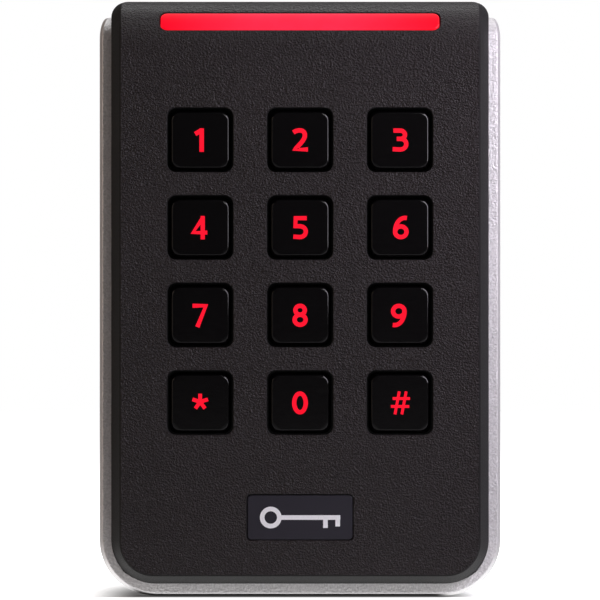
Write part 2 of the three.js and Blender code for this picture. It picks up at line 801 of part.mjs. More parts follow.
// a five-way screw terminal block with clamp pockets behind and wire mouths below
function terminalBlock() {
  const { halfWidth, halfHeight } = block;
  const frontY = mainBoardRear + gap;
  const body = box(-halfWidth, halfWidth, frontY, blockRear, -halfHeight, halfHeight);
  const { screwUp, screwRadius, screwDeep, mouthHalf, mouthHigh } = terminal;
  const holes = [-2, -1, 0, 1, 2].flatMap((way) => {
    const x = way * terminal.pitch;
    return [
      rodY(x, screwUp, screwRadius, blockRear - screwDeep, blockRear + 1, 8),
      box(
        x - mouthHalf, x + mouthHalf, frontY + 1, blockRear - 1,
        -halfHeight - 1, -halfHeight + mouthHigh,
      ),
    ];
  });
  return cut(body, ...holes);
}

function badgeMark(grow, y0, y1) {
  // a plain key lying on its side: ring, shaft and two bits
  const start = -mark.length / 2;
  const ringX = start + mark.ring;
  const centreRadius = mark.ring - mark.ringWall / 2;
  const half = mark.shaft / 2 + grow;
  const bits = mark.bits.map(({ fromEnd, long }) => {
    const x = mark.length / 2 - fromEnd;
    const halfWide = mark.bitWide / 2 + grow;
    return box(x - halfWide, x + halfWide, y0, y1, -long - grow, 0);
  });
  return join(
    oval(ringX, 0, centreRadius, centreRadius, mark.ringWall + 2 * grow, y0, y1),
    box(ringX + centreRadius, mark.length / 2 + grow, y0, y1, -half, half),
    ...bits,
  );
}

// ---- assembly ----
const steel = [0xb9bcc0, 0.4, 0.9];
const boardGreen = [0x1f4a33, 0.55];
const black = [0x1b1b1d, 0.6];

add('mounting_plate', mountingPlate(), ...steel);
const keeper = crossSlotScrew(keeperScrew).rotate([90, 0, 0]);
add('retaining_screw', keeper, ...steel, [0, keeperScrew.y, bottom + keeperScrew.counterbore - gap]);
add('rear_housing', rearHousing(), 0x9fa1a4, 0.45, 0.35);
const gasketPiece = gasketRing(gasket.inset, gasket.inset + gasket.wide, ledge, ledge + gasket.high);
add('housing_gasket', gasketPiece, 0x17181a, 0.9);
add('front_cover', frontCover(), 0x2c292a, 0.62);

add('light_bar_lens', lightBarLens(), 0xff1f3d, 0.3);
add('light_guide', lightGuide(), 0xf2ece8, 0.25);
add('led_board', ledBoard(), ...boardGreen);

const badgeFront = face + badge.standBack;
const markPocket = badgeMark(trimGap, badgeFront - 1, badgeFront + markThick);
const badgePlate = roundedSlab(
  -badge.width / 2, badge.width / 2, -badge.height / 2, badge.height / 2,
  badge.corner, badgeFront, badgeFront + badge.thick,
);
add('badge_plate', cut(badgePlate, markPocket), 0x35333a, 0.5, 0, [0, 0, badge.z]);
add('badge_mark', badgeMark(0, face, badgeFront + markThick - trimGap), 0xd8d7dc, 0.3, 0.8, [0, 0, badge.z]);

for (const { name, x, z } of keys) {
  add(`key_cap_${name}`, keyCap(name), 0x0d0d0e, 0.25, 0, [x, 0, z]);
  const legend = legendSolid(name, 0, cap.face, cap.face + legendDeep);
  add(`key_legend_${name}`, legend, 0xff1030, 0.4, 0, [x, 0, z]);
}
add('keypad_mat', keypadMat(), 0x6d7072, 0.85);
add('dome_sheet', domeSheet(), 0xd9dbdc, 0.5);
add('keypad_board', keypadCircuitBoard(), ...boardGreen);

add('main_board', mainBoard(), ...boardGreen);
add('ferrite_frame', coilRing(onBoardRear - ferriteThick, onBoardRear), 0x2a2b2e, 0.8);
const coilPiece = coilRing(onBoardFront + 0.2, onBoardRear - ferriteThick - gap, coilInset);
add('antenna_coil', coilPiece, 0xb4672c, 0.35, 0.7);
const can = roundedSlab(
  -shieldCan.halfWidth, shieldCan.halfWidth, shieldCan.low, shieldCan.high,
  shieldCan.corner, onBoardFront, onBoardRear,
);
add('shield_can', can, ...steel);
const plug = box(
  -connector.halfWidth, connector.halfWidth, onBoardFront, onBoardRear, connector.low, connector.high,
);
add('board_connector', plug, 0xe8e2d2, 0.5);
const sounder = rodY(
  buzzer.x, mainScrewZ - buzzer.belowScrew, buzzer.radius, onBoardFront, onBoardRear, 24,
);
add('buzzer', sounder, ...black);
const sensor = box(
  tamper.x - tamper.halfWidth, tamper.x + tamper.halfWidth, mainBoardRear + gap, tamper.rear,
  -tamper.halfHeight, tamper.halfHeight,
);
add('tamper_sensor', sensor, ...black);
add('terminal_block_upper', terminalBlock(), 0x2f6b3c, 0.5, 0, [0, 0, blockZ]);
add('terminal_block_lower', terminalBlock().rotate([0, 180, 0]), 0x2f6b3c, 0.5, 0, [0, 0, -blockZ]);

const coverScrewSolid = crossSlotScrew(coverScrew).rotate([180, 0, 0]);
let number = 1;
for (const side of [-1, 1]) {
  for (const z of screwZ) {
    add(`cover_screw_${number}`, coverScrewSolid, ...steel, [side * screwX, webRear + gap, z]);
    number += 1;
  }
}
const boardScrewSolid = crossSlotScrew(boardScrew).rotate([180, 0, 0]);
boardScrews.forEach(({ x, z }, i) => {
  add(`keypad_board_screw_${i + 1}`, boardScrewSolid, ...steel, [x, keypadBoardRear + gap, z]);
});
const mainScrewSolid = crossSlotScrew(mainScrew);
[-1, 1].forEach((side, i) => {
  add(`main_board_screw_${i + 1}`, mainScrewSolid, ...steel, [0, onBoardRear, side * mainScrewZ]);
});

export default group;
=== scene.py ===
import json
import math

import bmesh
import bpy
from mathutils import Matrix, Vector
from mathutils.geometry import delaunay_2d_cdt


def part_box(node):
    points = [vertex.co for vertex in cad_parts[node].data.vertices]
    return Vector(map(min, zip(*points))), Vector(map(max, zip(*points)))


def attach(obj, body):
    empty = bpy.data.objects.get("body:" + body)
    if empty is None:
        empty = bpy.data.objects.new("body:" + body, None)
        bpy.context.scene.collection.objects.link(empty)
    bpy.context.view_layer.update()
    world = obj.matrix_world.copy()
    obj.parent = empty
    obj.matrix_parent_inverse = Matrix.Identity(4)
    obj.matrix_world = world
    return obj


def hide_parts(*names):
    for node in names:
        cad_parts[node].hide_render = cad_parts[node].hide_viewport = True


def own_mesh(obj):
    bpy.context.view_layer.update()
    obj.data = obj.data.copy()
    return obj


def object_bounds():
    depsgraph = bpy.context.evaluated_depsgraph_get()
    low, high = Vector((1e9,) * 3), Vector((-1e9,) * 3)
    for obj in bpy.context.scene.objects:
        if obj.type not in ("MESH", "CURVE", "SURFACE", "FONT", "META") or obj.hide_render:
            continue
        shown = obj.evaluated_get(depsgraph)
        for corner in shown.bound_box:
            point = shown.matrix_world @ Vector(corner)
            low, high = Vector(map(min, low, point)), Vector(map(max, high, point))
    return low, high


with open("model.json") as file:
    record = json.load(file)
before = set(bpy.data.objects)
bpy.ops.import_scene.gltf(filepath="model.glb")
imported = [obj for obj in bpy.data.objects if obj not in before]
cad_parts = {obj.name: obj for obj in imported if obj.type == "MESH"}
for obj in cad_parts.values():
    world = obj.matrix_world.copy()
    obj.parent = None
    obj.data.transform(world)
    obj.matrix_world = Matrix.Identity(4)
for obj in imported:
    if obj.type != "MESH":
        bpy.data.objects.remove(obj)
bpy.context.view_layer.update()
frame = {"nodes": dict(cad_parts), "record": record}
mm = 0.001  # shapes below are worked out in millimetres and made in metres
scene = bpy.context.scene


def boxOf(node):
    low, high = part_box(node)
    return low / mm, high / mm


def middleOf(node):
    low, high = boxOf(node)
    return (low.x + high.x) / 2, (low.z + high.z) / 2


def bodyOf(node):
    return next(name for name, nodes in frame["record"]["behaviour"]["bodies"].items() if node in nodes)


# node material tools: a small chain of helpers, so that each finish below reads top to bottom
def newFinish(name):
    material = bpy.data.materials.new(name)
    material.use_nodes = True
    tree = material.node_tree
    shader = tree.nodes["Principled BSDF"]
    return material, tree, shader


def feed(tree, target, inputs):
    # each input is linked to another node's output or set to a constant
    for key, value in inputs.items():
        if isinstance(value, bpy.types.NodeSocket):
            tree.links.new(value, target.inputs[key])
        else:
            target.inputs[key].default_value = value


def node(tree, kind, inputs=None, **settings):
    made = tree.nodes.new(kind)
    for key, value in settings.items():
        setattr(made, key, value)
    feed(tree, made, inputs or {})
    return made


def millimetres(tree, stretch=(1, 1, 1)):
    # object coordinates in millimetres, so that every scale below is in features per millimetre
    coordinates = node(tree, "ShaderNodeTexCoord")
    scale = tuple(1 / mm * part for part in stretch)
    sized = node(tree, "ShaderNodeMapping", {"Vector": coordinates.outputs["Object"], "Scale": scale})
    return sized.outputs["Vector"]


def noise(tree, vector, scale, detail=2.0, roughness=0.5):
    made = node(
        tree,
        "ShaderNodeTexNoise",
        {"Vector": vector, "Scale": scale, "Detail": detail, "Roughness": roughness},
    )
    return made.outputs["Fac"]


def between(tree, value, low, high, fromLow=0.0, fromHigh=1.0, smooth=False):
    made = node(
        tree,
        "ShaderNodeMapRange",
        {"Value": value, "From Min": fromLow, "From Max": fromHigh, "To Min": low, "To Max": high},
        interpolation_type="SMOOTHSTEP" if smooth else "LINEAR",
    )
    return made.outputs["Result"]


def sums(tree, operation, first, second):
    made = node(tree, "ShaderNodeMath", {0: first, 1: second}, operation=operation)
    return made.outputs["Value"]


def times(tree, first, second):
    return sums(tree, "MULTIPLY", first, second)


def shade(tree, value, stops):
    # a colour ramp from (place, colour) stops
    made = node(tree, "ShaderNodeValToRGB", {"Fac": value})
    ramp = made.color_ramp
    while len(ramp.elements) < len(stops):
        ramp.elements.new(0.5)
    for element, (place, colour) in zip(ramp.elements, stops):
        element.position = place
        element.color = (*colour, 1)
    return made.outputs["Color"]


def bump(tree, shader, height, strength, distance):
    made = node(
        tree, "ShaderNodeBump", {"Height": height, "Strength": strength, "Distance": distance * mm}
    )
    tree.links.new(made.outputs["Normal"], shader.inputs["Normal"])


def lighter(colour, by):
    return tuple(min(part * by, 1) for part in colour)


print("finishes")

coverFinish = {
    "colour": (0.0078, 0.005, 0.006),
    "grainPerMm": 2.4,
    "grainDepth": 0.64,
    "roughness": (0.27, 0.42),
    "spread": 0.5,
    "frontGrainAndSideShade": True,
    "shine": 0.22,
}


def moulded(name, colour, grainPerMm, grainDepth, roughness, spread=0.25, frontGrainAndSideShade=False, shine=0.5):
    # moulded plastic: a pebbled grain, with small changes in colour and shine
    material, tree, shader = newFinish(name)
    place = millimetres(tree)
    pebble = node(
        tree,
        "ShaderNodeTexVoronoi",
        {"Vector": place, "Scale": grainPerMm, "Smoothness": 0.6},
        feature="SMOOTH_F1",
    ).outputs["Distance"]
    fine = noise(tree, place, grainPerMm * 1.7, 3)
    cloud = noise(tree, place, 0.05, 3)
    grain = sums(tree, "ADD", times(tree, pebble, 0.55), times(tree, fine, 0.75))
    if frontGrainAndSideShade:
        # the drafted sides and the underside are moulded smooth, and their colour is darkened as painted
        # shade
        normal = node(tree, "ShaderNodeTexCoord").outputs["Normal"]
        facing = node(tree, "ShaderNodeSeparateXYZ", {0: normal})
        aside = sums(tree, "ABSOLUTE", facing.outputs["X"], 0)
        under = times(tree, facing.outputs["Z"], -1)
        side = sums(tree, "MAXIMUM", aside, under)
        grain = times(tree, grain, between(tree, side, 1, 0.12, 0.25, 0.6, True))
    rough = between(tree, fine, *roughness, 0.3, 0.7)
    if frontGrainAndSideShade:
        rough = sums(tree, "ADD", rough, between(tree, side, 0, 0.4, 0.25, 0.6, True))
    tone = between(tree, grain, 1 - spread, 1 + spread, 0.25, 0.95)
    tone = times(tree, tone, between(tree, cloud, 0.92, 1.08, 0.3, 0.7))
    # painted shade: the base colour darkens to 0.4 on the drafted sides and the underside
    if frontGrainAndSideShade:
        tone = times(tree, tone, between(tree, side, 1, 0.4, 0.25, 0.6, True))
    coloured = node(tree, "ShaderNodeVectorMath", {0: colour, "Scale": tone}, operation="SCALE")
    feed(tree, shader, {"Base Color": coloured.outputs["Vector"], "Roughness": rough})
    shader.inputs["Specular IOR Level"].default_value = shine
    bump(tree, shader, grain, 1.0, grainDepth)
    return material


coverBlack = moulded("coverBlack", **coverFinish)


def glossy(name, colour, roughness, smear=0.35):
    # polished plastic with faint rub marks and a touch of dust
    material, tree, shader = newFinish(name)
    place = millimetres(tree)
    rubbed = noise(tree, millimetres(tree, (0.3, 1, 1.6)), 0.9, 4, 0.6)
    dust = noise(tree, place, 7.0, 2)
    tone = between(tree, dust, 0, 1, 0.66, 0.78, True)
    dusty = tuple(part + 0.012 for part in colour)
    high = roughness * (1 + smear)
    feed(tree, shader, {
        "Base Color": shade(tree, tone, [(0, colour), (1, dusty)]),
        "Roughness": between(tree, rubbed, roughness, high, 0.35, 0.7),
    })
    bump(tree, shader, noise(tree, place, 0.6, 2), 0.12, 0.05)
    return material


keyBlack = glossy("keyBlack", (0.0022, 0.0019, 0.0021), 0.11)

glow = {
    "legend": (1.0, 0.003, 0.022),
    "legendPower": 1.0,
    "bar": (1.0, 0.024, 0.068),
    "barEnd": (1.0, 0.0, 0.014),
    "barPower": 1.0,
}


def lit(name, colour, power, endX=0.0, endColour=None):
    # backlit plastic: even in the middle, and deeper in colour where the light has furthest to go
    material, tree, shader = newFinish(name)
    place = millimetres(tree)
    cloud = noise(tree, place, 0.35, 2)
    strength = between(tree, cloud, power * 0.94, power * 1.06, 0.3, 0.7)
    shader.inputs["Base Color"].default_value = (0.1, 0.001, 0.004, 1)
    shader.inputs["Specular IOR Level"].default_value = 0.2
    if endX:
        across = node(tree, "ShaderNodeSeparateXYZ", {"Vector": place})
        reach = sums(tree, "ABSOLUTE", across.outputs["X"], 0)
        stops = [(0, colour), (1, endColour)]
        warm = shade(tree, between(tree, reach, 0, 1, endX * 0.3, endX), stops)
    else:
        red, green, blue = colour
        warm = shade(tree, cloud, [(0.2, colour), (0.8, (red, green + 0.004, blue + 0.006))])
    feed(tree, shader, {
        "Emission Color": warm,
        "Emission Strength": strength,
        "Roughness": between(tree, noise(tree, place, 3.0, 2), 0.3, 0.4),
    })
    bump(tree, shader, noise(tree, place, 4.0, 2), 0.1, 0.02)
    return material


legendRed = lit("legendRed", glow["legend"], glow["legendPower"])
barRed = lit("barRed", glow["bar"], glow["barPower"], endX=28.0, endColour=glow["barEnd"])


def metallic(name, colour, roughness, grain=(1, 1, 1), perMm=3.0, depth=0.01, metal=1.0, spread=0.1):
    # metal or metallic paint: fine flakes or brush lines, and slow cloudy changes in shine
    material, tree, shader = newFinish(name)
    fine = noise(tree, millimetres(tree, grain), perMm, 3, 0.6)
    cloud = noise(tree, millimetres(tree), 0.08, 3)
    tones = [(0, lighter(colour, 1 - spread)), (1, lighter(colour, 1 + spread))]
    shine = sums(
        tree, "ADD",
        between(tree, cloud, roughness * 0.9, roughness * 1.1, 0.3, 0.7),
        between(tree, fine, -0.04, 0.04, 0.3, 0.7),
    )
    coloured = shade(tree, between(tree, fine, 0, 1, 0.3, 0.7), tones)
    feed(tree, shader, {"Base Color": coloured, "Roughness": shine, "Metallic": metal})
    bump(tree, shader, fine, 0.5, depth)
    return material


housingSilver = metallic(
    "housingSilver", (0.52, 0.505, 0.51), 0.44, perMm=2.4, depth=0.45, metal=0.5, spread=0.2
)
plateSteel = metallic("plateSteel", (0.55, 0.555, 0.57), 0.36, grain=(0.12, 1, 1), perMm=2.2)
screwSteel = metallic("screwSteel", (0.6, 0.6, 0.62), 0.28, perMm=4.0)
badgeFoil = metallic(
    "badgeFoil", (0.84, 0.835, 0.86), 0.34, grain=(1, 1, 0.2), perMm=6.0, metal=0.25, spread=0.05
)
shieldTin = metallic("shieldTin", (0.62, 0.63, 0.64), 0.34, grain=(1, 1, 0.15), perMm=3.0)
coilCopper = metallic("coilCopper", (0.62, 0.28, 0.12), 0.3, grain=(0.05, 3, 0.05), perMm=1.0, spread=0.3)

badgeGrey = moulded("badgeGrey", (0.018, 0.0165, 0.023), 6.0, 0.01, (0.3, 0.42), 0.08, shine=0.3)
gasketRubber = moulded("gasketRubber", (0.018, 0.018, 0.02), 3.0, 0.08, (0.75, 0.9))
matSilicone = moulded("matSilicone", (0.27, 0.28, 0.29), 2.0, 0.03, (0.55, 0.7), 0.08)
domeFilm = moulded("domeFilm", (0.6, 0.61, 0.62), 1.0, 0.01, (0.3, 0.4), 0.06)
ferriteGrey = moulded("ferriteGrey", (0.035, 0.035, 0.04), 4.0, 0.04, (0.5, 0.7))
nylonCream = moulded("nylonCream", (0.62, 0.58, 0.48), 2.5, 0.02, (0.45, 0.55), 0.06)
nylonGreen = moulded("nylonGreen", (0.03, 0.16, 0.065), 2.5, 0.02, (0.4, 0.52), 0.1)
partBlack = moulded("partBlack", (0.012, 0.012, 0.013), 3.0, 0.03, (0.45, 0.6))
guideClear = glossy("guideClear", (0.7, 0.68, 0.66), 0.12)


def circuitBoard(name):
    # solder resist over copper tracks, with tinned pads
    material, tree, shader = newFinish(name)
    place = millimetres(tree)
    flat = node(tree, "ShaderNodeSeparateXYZ", {"Vector": place}).outputs
    facing = node(tree, "ShaderNodeCombineXYZ", {"X": flat["X"], "Y": flat["Z"], "Z": 0.0}).outputs[0]
    tracks = node(
        tree,
        "ShaderNodeTexBrick",
        {
            "Vector": facing, "Scale": 0.35, "Mortar Size": 0.035, "Bias": 0.0,
            "Color1": (0, 0, 0, 1), "Color2": (0.2, 0.2, 0.2, 1),
        },
    )
    pads = node(tree, "ShaderNodeTexVoronoi", {"Vector": facing, "Scale": 0.3})
    pad = between(tree, pads.outputs["Distance"], 1, 0, 0.14, 0.17)
    resist = shade(
        tree, tracks.outputs["Fac"], [(0.0, (0.012, 0.09, 0.035)), (1.0, (0.03, 0.17, 0.07))]
    )
    tinned = (0.6, 0.58, 0.5, 1)
    mixed = node(tree, "ShaderNodeMix", {"Factor": pad, 6: resist, 7: tinned}, data_type="RGBA")
    rough = between(tree, noise(tree, place, 2.0, 2), 0.28, 0.42)
    feed(tree, shader, {"Base Color": mixed.outputs[2], "Metallic": pad, "Roughness": rough})
    bump(tree, shader, tracks.outputs["Fac"], 0.4, 0.03)
    return material


boardGreen = circuitBoard("boardGreen")


# shape tools: loops are lists of flat (across, up) points, anticlockwise as seen from the front
def quarterArc(x, z, across, up, quarter, steps):
    turns = [(quarter + step / steps) * math.pi / 2 for step in range(steps + 1)]
    return [(x + across * math.cos(turn), z + up * math.sin(turn)) for turn in turns]


def roundedLoop(x0, x1, z0, z1, corner, steps=8):
    loop = []
    centres = [(x1, z1, -1, -1), (x0, z1, 1, -1), (x0, z0, 1, 1), (x1, z0, -1, 1)]
    for quarter, (x, z, towardX, towardZ) in enumerate(centres):
        x, z = x + towardX * corner, z + towardZ * corner
        loop += quarterArc(x, z, corner, corner, quarter, steps)
    return loop


def aroundLoop(x, z, width, height, corner, by=0.0, steps=8):
    halfX, halfZ = width / 2 + by, height / 2 + by
    return roundedLoop(x - halfX, x + halfX, z - halfZ, z + halfZ, max(corner + by, 0.05), steps)


def circle(radius, sides):
    turns = [i / sides * 2 * math.pi for i in range(sides)]
    return [(radius * math.cos(turn), radius * math.sin(turn)) for turn in turns]


def roundOver(radius, steps):
    # a quarter round from a side to a face: how far each step stands out from the side, and how deep
    turns = [step / steps * math.pi / 2 for step in range(steps + 1)]
    return [(radius * (1 - math.sin(turn)), radius * (1 - math.cos(turn))) for turn in turns]


def levelled(loop):
    # the same loop with equal heights on both sides, so that ties run straight across, and the heights
    heights = sorted({round(z, 6) for x, z in loop if x > 0})
    return [(x, min(heights, key=lambda height: abs(height - z))) for x, z in loop], heights


def endsAt(points, indices, height):
    # the leftmost and the rightmost of the points at one height
    level = [j for j in indices if abs(points[j][1] - height) < 1e-5]
    return [pick(level, key=lambda j: points[j][0]) for pick in (min, max)] if level else None


def triangulate(points, loops, ties=()):
    # triangles over every loop, each with the numbers of the loops that hold it
    edges = [(loop[i], loop[(i + 1) % len(loop)]) for loop in loops for i in range(len(loop))]
    found, _, faces, _, _, inside = delaunay_2d_cdt(
        [Vector(point) for point in points], edges + list(ties), loops, 0, 1e-7
    )
    sheet = []
    for face, holders in zip(faces, inside):
        if not holders:
            continue
        a, b, c = (found[i] for i in face)
        turned = (b - a).cross(c - a) < 0
        sheet.append((tuple(reversed(face)) if turned else tuple(face), set(holders)))
    return [tuple(point) for point in found], sheet


def numbered(*loops):
    # the loops' points in one list, and each loop as indices into it
    points, indices = [], []
    for loop in loops:
        indices.append(list(range(len(points), len(points) + len(loop))))
        points.extend(loop)
    return points, indices


def sheetOf(*loops):
    return triangulate(*numbered(*loops))


def outside(sheet):
    # the triangles that lie in no inner loop
    return [triangle for triangle, holders in sheet if holders == {0}]


class Skin:
    # collects a piece's faces; welded and turned outward when it becomes an object
    def __init__(self):
        self.points = []
        self.faces = []

    def sheet(self, points, triangles):
        start = len(self.points)
        self.points.extend(points)
        self.faces.extend(tuple(start + i for i in triangle) for triangle in triangles)

    def rings(self, *rings):
        for front, rear in zip(rings, rings[1:]):
            start, count = len(self.points), len(front)
            self.points.extend(front)
            self.points.extend(rear)
            for i in range(count):
                after = (i + 1) % count
                self.faces.append((start + i, start + count + i, start + count + after, start + after))

    def lid(self, ring):
        start = len(self.points)
        self.points.extend(ring)
        self.faces.append(tuple(range(start, start + len(ring))))

    def solid(self, *rings):
        self.lid(rings[0])
        self.rings(*rings)
        self.lid(rings[-1])
        return self


def flatAt(loop, y):
    return [(x, y, z) for x, z in loop]


def weldedMesh(name, skin, weld=0.002):
    mesh = bpy.data.meshes.new(name)
    shape = bmesh.new()
    made = [shape.verts.new(Vector(point) * mm) for point in skin.points]
    for face in skin.faces:
        try:
            shape.faces.new([made[i] for i in face])
        except ValueError:
            pass  # two strips that meet in one face
    bmesh.ops.remove_doubles(shape, verts=shape.verts, dist=weld * mm)
    bmesh.ops.dissolve_degenerate(shape, edges=shape.edges, dist=weld * mm / 4)
    bmesh.ops.recalc_face_normals(shape, faces=shape.faces)
    shape.to_mesh(mesh)
    shape.free()
    return mesh


def softenEdges(piece, width, segments):
    rounded = piece.modifiers.new("edges", "BEVEL")
    rounded.width = width * mm
    rounded.segments = segments
    rounded.limit_method = "ANGLE"
    rounded.angle_limit = math.radians(40)


def finishPiece(piece, body, slotName, material, stands=(), sharpDegrees=38, bevel=0.0):
    piece.data.materials.clear()
    piece.data.materials.append(material)
    piece.data.polygons.foreach_set("use_smooth", [True] * len(piece.data.polygons))
    if bevel:
        softenEdges(piece, bevel, 3)
    else:
        piece.data.set_sharp_from_angle(angle=math.radians(sharpDegrees))
    weighted = piece.modifiers.new("normals", "WEIGHTED_NORMAL")
    weighted.keep_sharp = True
    weighted.weight = 90
    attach(piece, body)
    if stands:
        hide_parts(*stands)
    return piece


def placed(name, skin):
    piece = bpy.data.objects.new(name, weldedMesh(name, skin))
    scene.collection.objects.link(piece)
    return piece


def newPiece(name, skin, *rest, **more):
    return finishPiece(placed(name, skin), *rest, **more)


print("front cover")

coverLow, coverHigh = boxOf("front_cover")
cover = {
    "bendRadius": 9.8,
    "wall": 2.2,
    "flare": 2.0,
    "corner": 8.6,
    "topCorner": 3.0,
    "topAcross": 2.0,
    "topDrop": 2.0,
    "innerTop": (0.6, 2.4),  # how the inside's top corners are rounded, across and up
    "innerTopCorner": 0.8,
    "innerSide": 2.5,
    "edgeRound": 0.32,
    "lipRound": 0.2,
    "seamClosed": 0.26,  # brings the rear edge up to the housing, so that no light shows through
    "rearEdge": -9.8,
    "rollStart": 51.7,  # above this height the rear edge follows the housing back to the roof
    "rollHeight": 4.9,
}
faceY = coverLow.y
coverTop = coverHigh.z
bendStart = coverTop - cover["bendRadius"]
bendY = faceY + cover["bendRadius"]
bendEnd = bendStart + cover["bendRadius"] * math.pi / 2


def onCover(across, along, deep=0.0):
    # a point on the cover's face: across, along the face and round the bend, and in from the surface
    if along <= bendStart:
        return (across, faceY + deep, along)
    angle = (along - bendStart) / cover["bendRadius"]
    radius = cover["bendRadius"] - deep
    return (across, bendY - radius * math.cos(angle), bendStart + radius * math.sin(angle))


def alongOf(z):
    return bendStart + cover["bendRadius"] * math.asin((z - bendStart) / cover["bendRadius"])


cornerPoints = 13  # on each of the cover's bottom corners


def coverOutline(
    halfWidth, bottom, corner, top, topAcross, topUp, heights, topSteps=8, cornerSteps=cornerPoints - 1
):
    # right side going up, then the left side going down
    side = [
        *quarterArc(halfWidth - corner, bottom + corner, corner, corner, -1, cornerSteps),
        *((halfWidth, height) for height in heights),
        *quarterArc(halfWidth - topAcross, top - topUp, topAcross, topUp, 0, topSteps),
    ]
    return side + [(-x, z) for x, z in reversed(side)]


def spread(start, stop, steps):
    return [start + (stop - start) * i / steps for i in range(steps)]


barSlot = {
    "width": 55.1,
    "corner": 1.5,
    "centre": bendStart + cover["bendRadius"] * math.radians(36),
    "height": 2 * cover["bendRadius"] * math.asin(2.19 / cover["bendRadius"]),
}
keyWell = {"width": 12.9, "height": 12.6, "corner": 1.75}
badgeLow, badgeHigh = boxOf("badge_plate")
badgeSize = {
    "width": badgeHigh.x - badgeLow.x,
    "height": badgeHigh.z - badgeLow.z,
    "centre": (badgeHigh.z + badgeLow.z) / 2,
    "corner": 0.8,
    "gap": 0.12,
    "recess": 0.95,
    "edgeRound": 0.14,
}
keyNames = ["1", "2", "3", "4", "5", "6", "7", "8", "9", "star", "0", "hash"]


def keyCentre(name):
    return middleOf(f"key_cap_{name}")


def rearEdgeAt(z):
    up = min(max((z - cover["rollStart"]) / cover["rollHeight"], 0), 1)
    edge = coverHigh.y + (cover["rearEdge"] - coverHigh.y) * math.sqrt(1 - up * up)
    return edge + cover["seamClosed"]


def buildCover():
    edge, lip, wall = cover["edgeRound"], cover["lipRound"], cover["wall"]
    halfRear = coverHigh.x
    halfFront = halfRear - cover["flare"]
    bottomRear = coverLow.z
    bottomFront = bottomRear + cover["flare"]
    slot = (0, barSlot["centre"], barSlot["width"], barSlot["height"], barSlot["corner"])
    # the side has a point at each height where the slot has one
    slotLoop, slotHeights = levelled(aroundLoop(*slot, by=lip))
    cornerStart = alongOf(coverTop - cover["topDrop"])
    frontCorner, topAcross = cover["corner"] - cover["flare"], cover["topAcross"]
    heights = (
        spread(bendStart, slotHeights[0], 8) + slotHeights + spread(slotHeights[-1], cornerStart, 2)[1:]
    )
    zHeights = spread(bendStart, coverTop - cover["topCorner"], len(heights))
    face = coverOutline(
        halfFront - edge, bottomFront + edge, frontCorner - edge,
        bendEnd - edge, topAcross - edge, bendEnd - cornerStart - edge, heights,
    )
    nominal = coverOutline(
        halfFront, bottomFront, frontCorner, bendEnd, topAcross, bendEnd - cornerStart, heights
    )
    behind = coverOutline(
        halfRear, bottomRear, cover["corner"], coverTop, cover["topCorner"], cover["topCorner"], zHeights
    )
    behindInner = coverOutline(
        halfRear - wall, bottomRear + wall, cover["corner"] - wall,
        coverTop - wall, cover["innerTopCorner"], cover["innerTopCorner"], zHeights,
    )
    highest = bendEnd - wall - cover["innerSide"]
    faceInner = coverOutline(
        halfFront - wall, bottomFront + wall, frontCorner - wall,
        bendEnd - wall, *cover["innerTop"], [min(height, highest) for height in heights],
    )

    wells = [(*keyCentre(name), *keyWell.values()) for name in keyNames]
    recess = (
        0, badgeSize["centre"], badgeSize["width"] + 2 * badgeSize["gap"],
        badgeSize["height"] + 2 * badgeSize["gap"], badgeSize["corner"],
    )
    openings = [slot, *wells, recess]
    loops = [slotLoop] + [aroundLoop(*opening, by=lip) for opening in openings[1:]]
    points, indices = numbered(face, *loops)
    count = len(face)
    ties = []
    for i in range(cornerPoints, count // 2):
        mirror = count - 1 - i
        ends = endsAt(points, indices[1], face[i][1])
        ties += [(i, ends[1]), (mirror, ends[0])] if ends else [(i, mirror)]
    found, sheet = triangulate(points, indices, ties)
    assert len(found) == len(points), "the cover's sheet has points that its edges don't"

    skin = Skin()
    outer = [onCover(*point) for point in points]
    solid = outside(sheet)
    skin.sheet(outer, solid)
    innerFlat = list(faceInner) + [
        point for opening, loop in zip(openings, loops) for point in aroundLoop(*opening)
    ]
    inner = [onCover(*point, wall) for point in innerFlat]
    badgeNumber = len(openings)
    badgeSheet = [triangle for triangle, holders in sheet if holders == {0, badgeNumber}]
    skin.sheet(inner, solid + badgeSheet)

    # rounded outer edge, drafted sides, rear edge and back up inside
    edgeRings = [[onCover(*point) for point in face]]
    for inward, deep in roundOver(1, 4)[1:]:
        ring = []
        for (faceX, faceAlong), (x, along), (rearX, rearZ) in zip(face, nominal, behind):
            corner = Vector(onCover(x, along))
            towardFace = Vector(onCover(faceX, faceAlong)) - corner
            towardRear = (Vector((rearX, cover["rearEdge"], rearZ)) - corner).normalized() * edge
            ring.append(tuple(corner + towardFace * inward + towardRear * deep))
        edgeRings.append(ring)
    skin.rings(
        *edgeRings,
        [(x, cover["rearEdge"] - 0.1, z) for x, z in behind],
        [(x, rearEdgeAt(z), z) for x, z in behind],
        [(x, rearEdgeAt(outerZ), z) for (x, z), (_, outerZ) in zip(behindInner, behind)],
        [(x, cover["rearEdge"] - 0.1, z) for x, z in behindInner],
        [onCover(x, along, wall) for x, along in faceInner],
    )

    for number, opening in enumerate(openings, start=1):
        rings = []
        for by, deep in roundOver(lip, 4):
            loop = slotLoop if number == 1 and not deep else aroundLoop(*opening, by=by)
            rings.append([onCover(*point, deep) for point in loop])
        depth = badgeSize["recess"] if number == badgeNumber else wall
        skin.rings(*rings, [onCover(*point, depth) for point in aroundLoop(*opening)])
    skin.sheet([onCover(*point, badgeSize["recess"]) for point in innerFlat], badgeSheet)
    return newPiece("frontCover", skin, "reader", "cover_black", coverBlack, ["front_cover"])


buildCover()

print("light bar")

lens = {"gap": 0.14, "deep": 1.6, "edgeRound": 0.28}


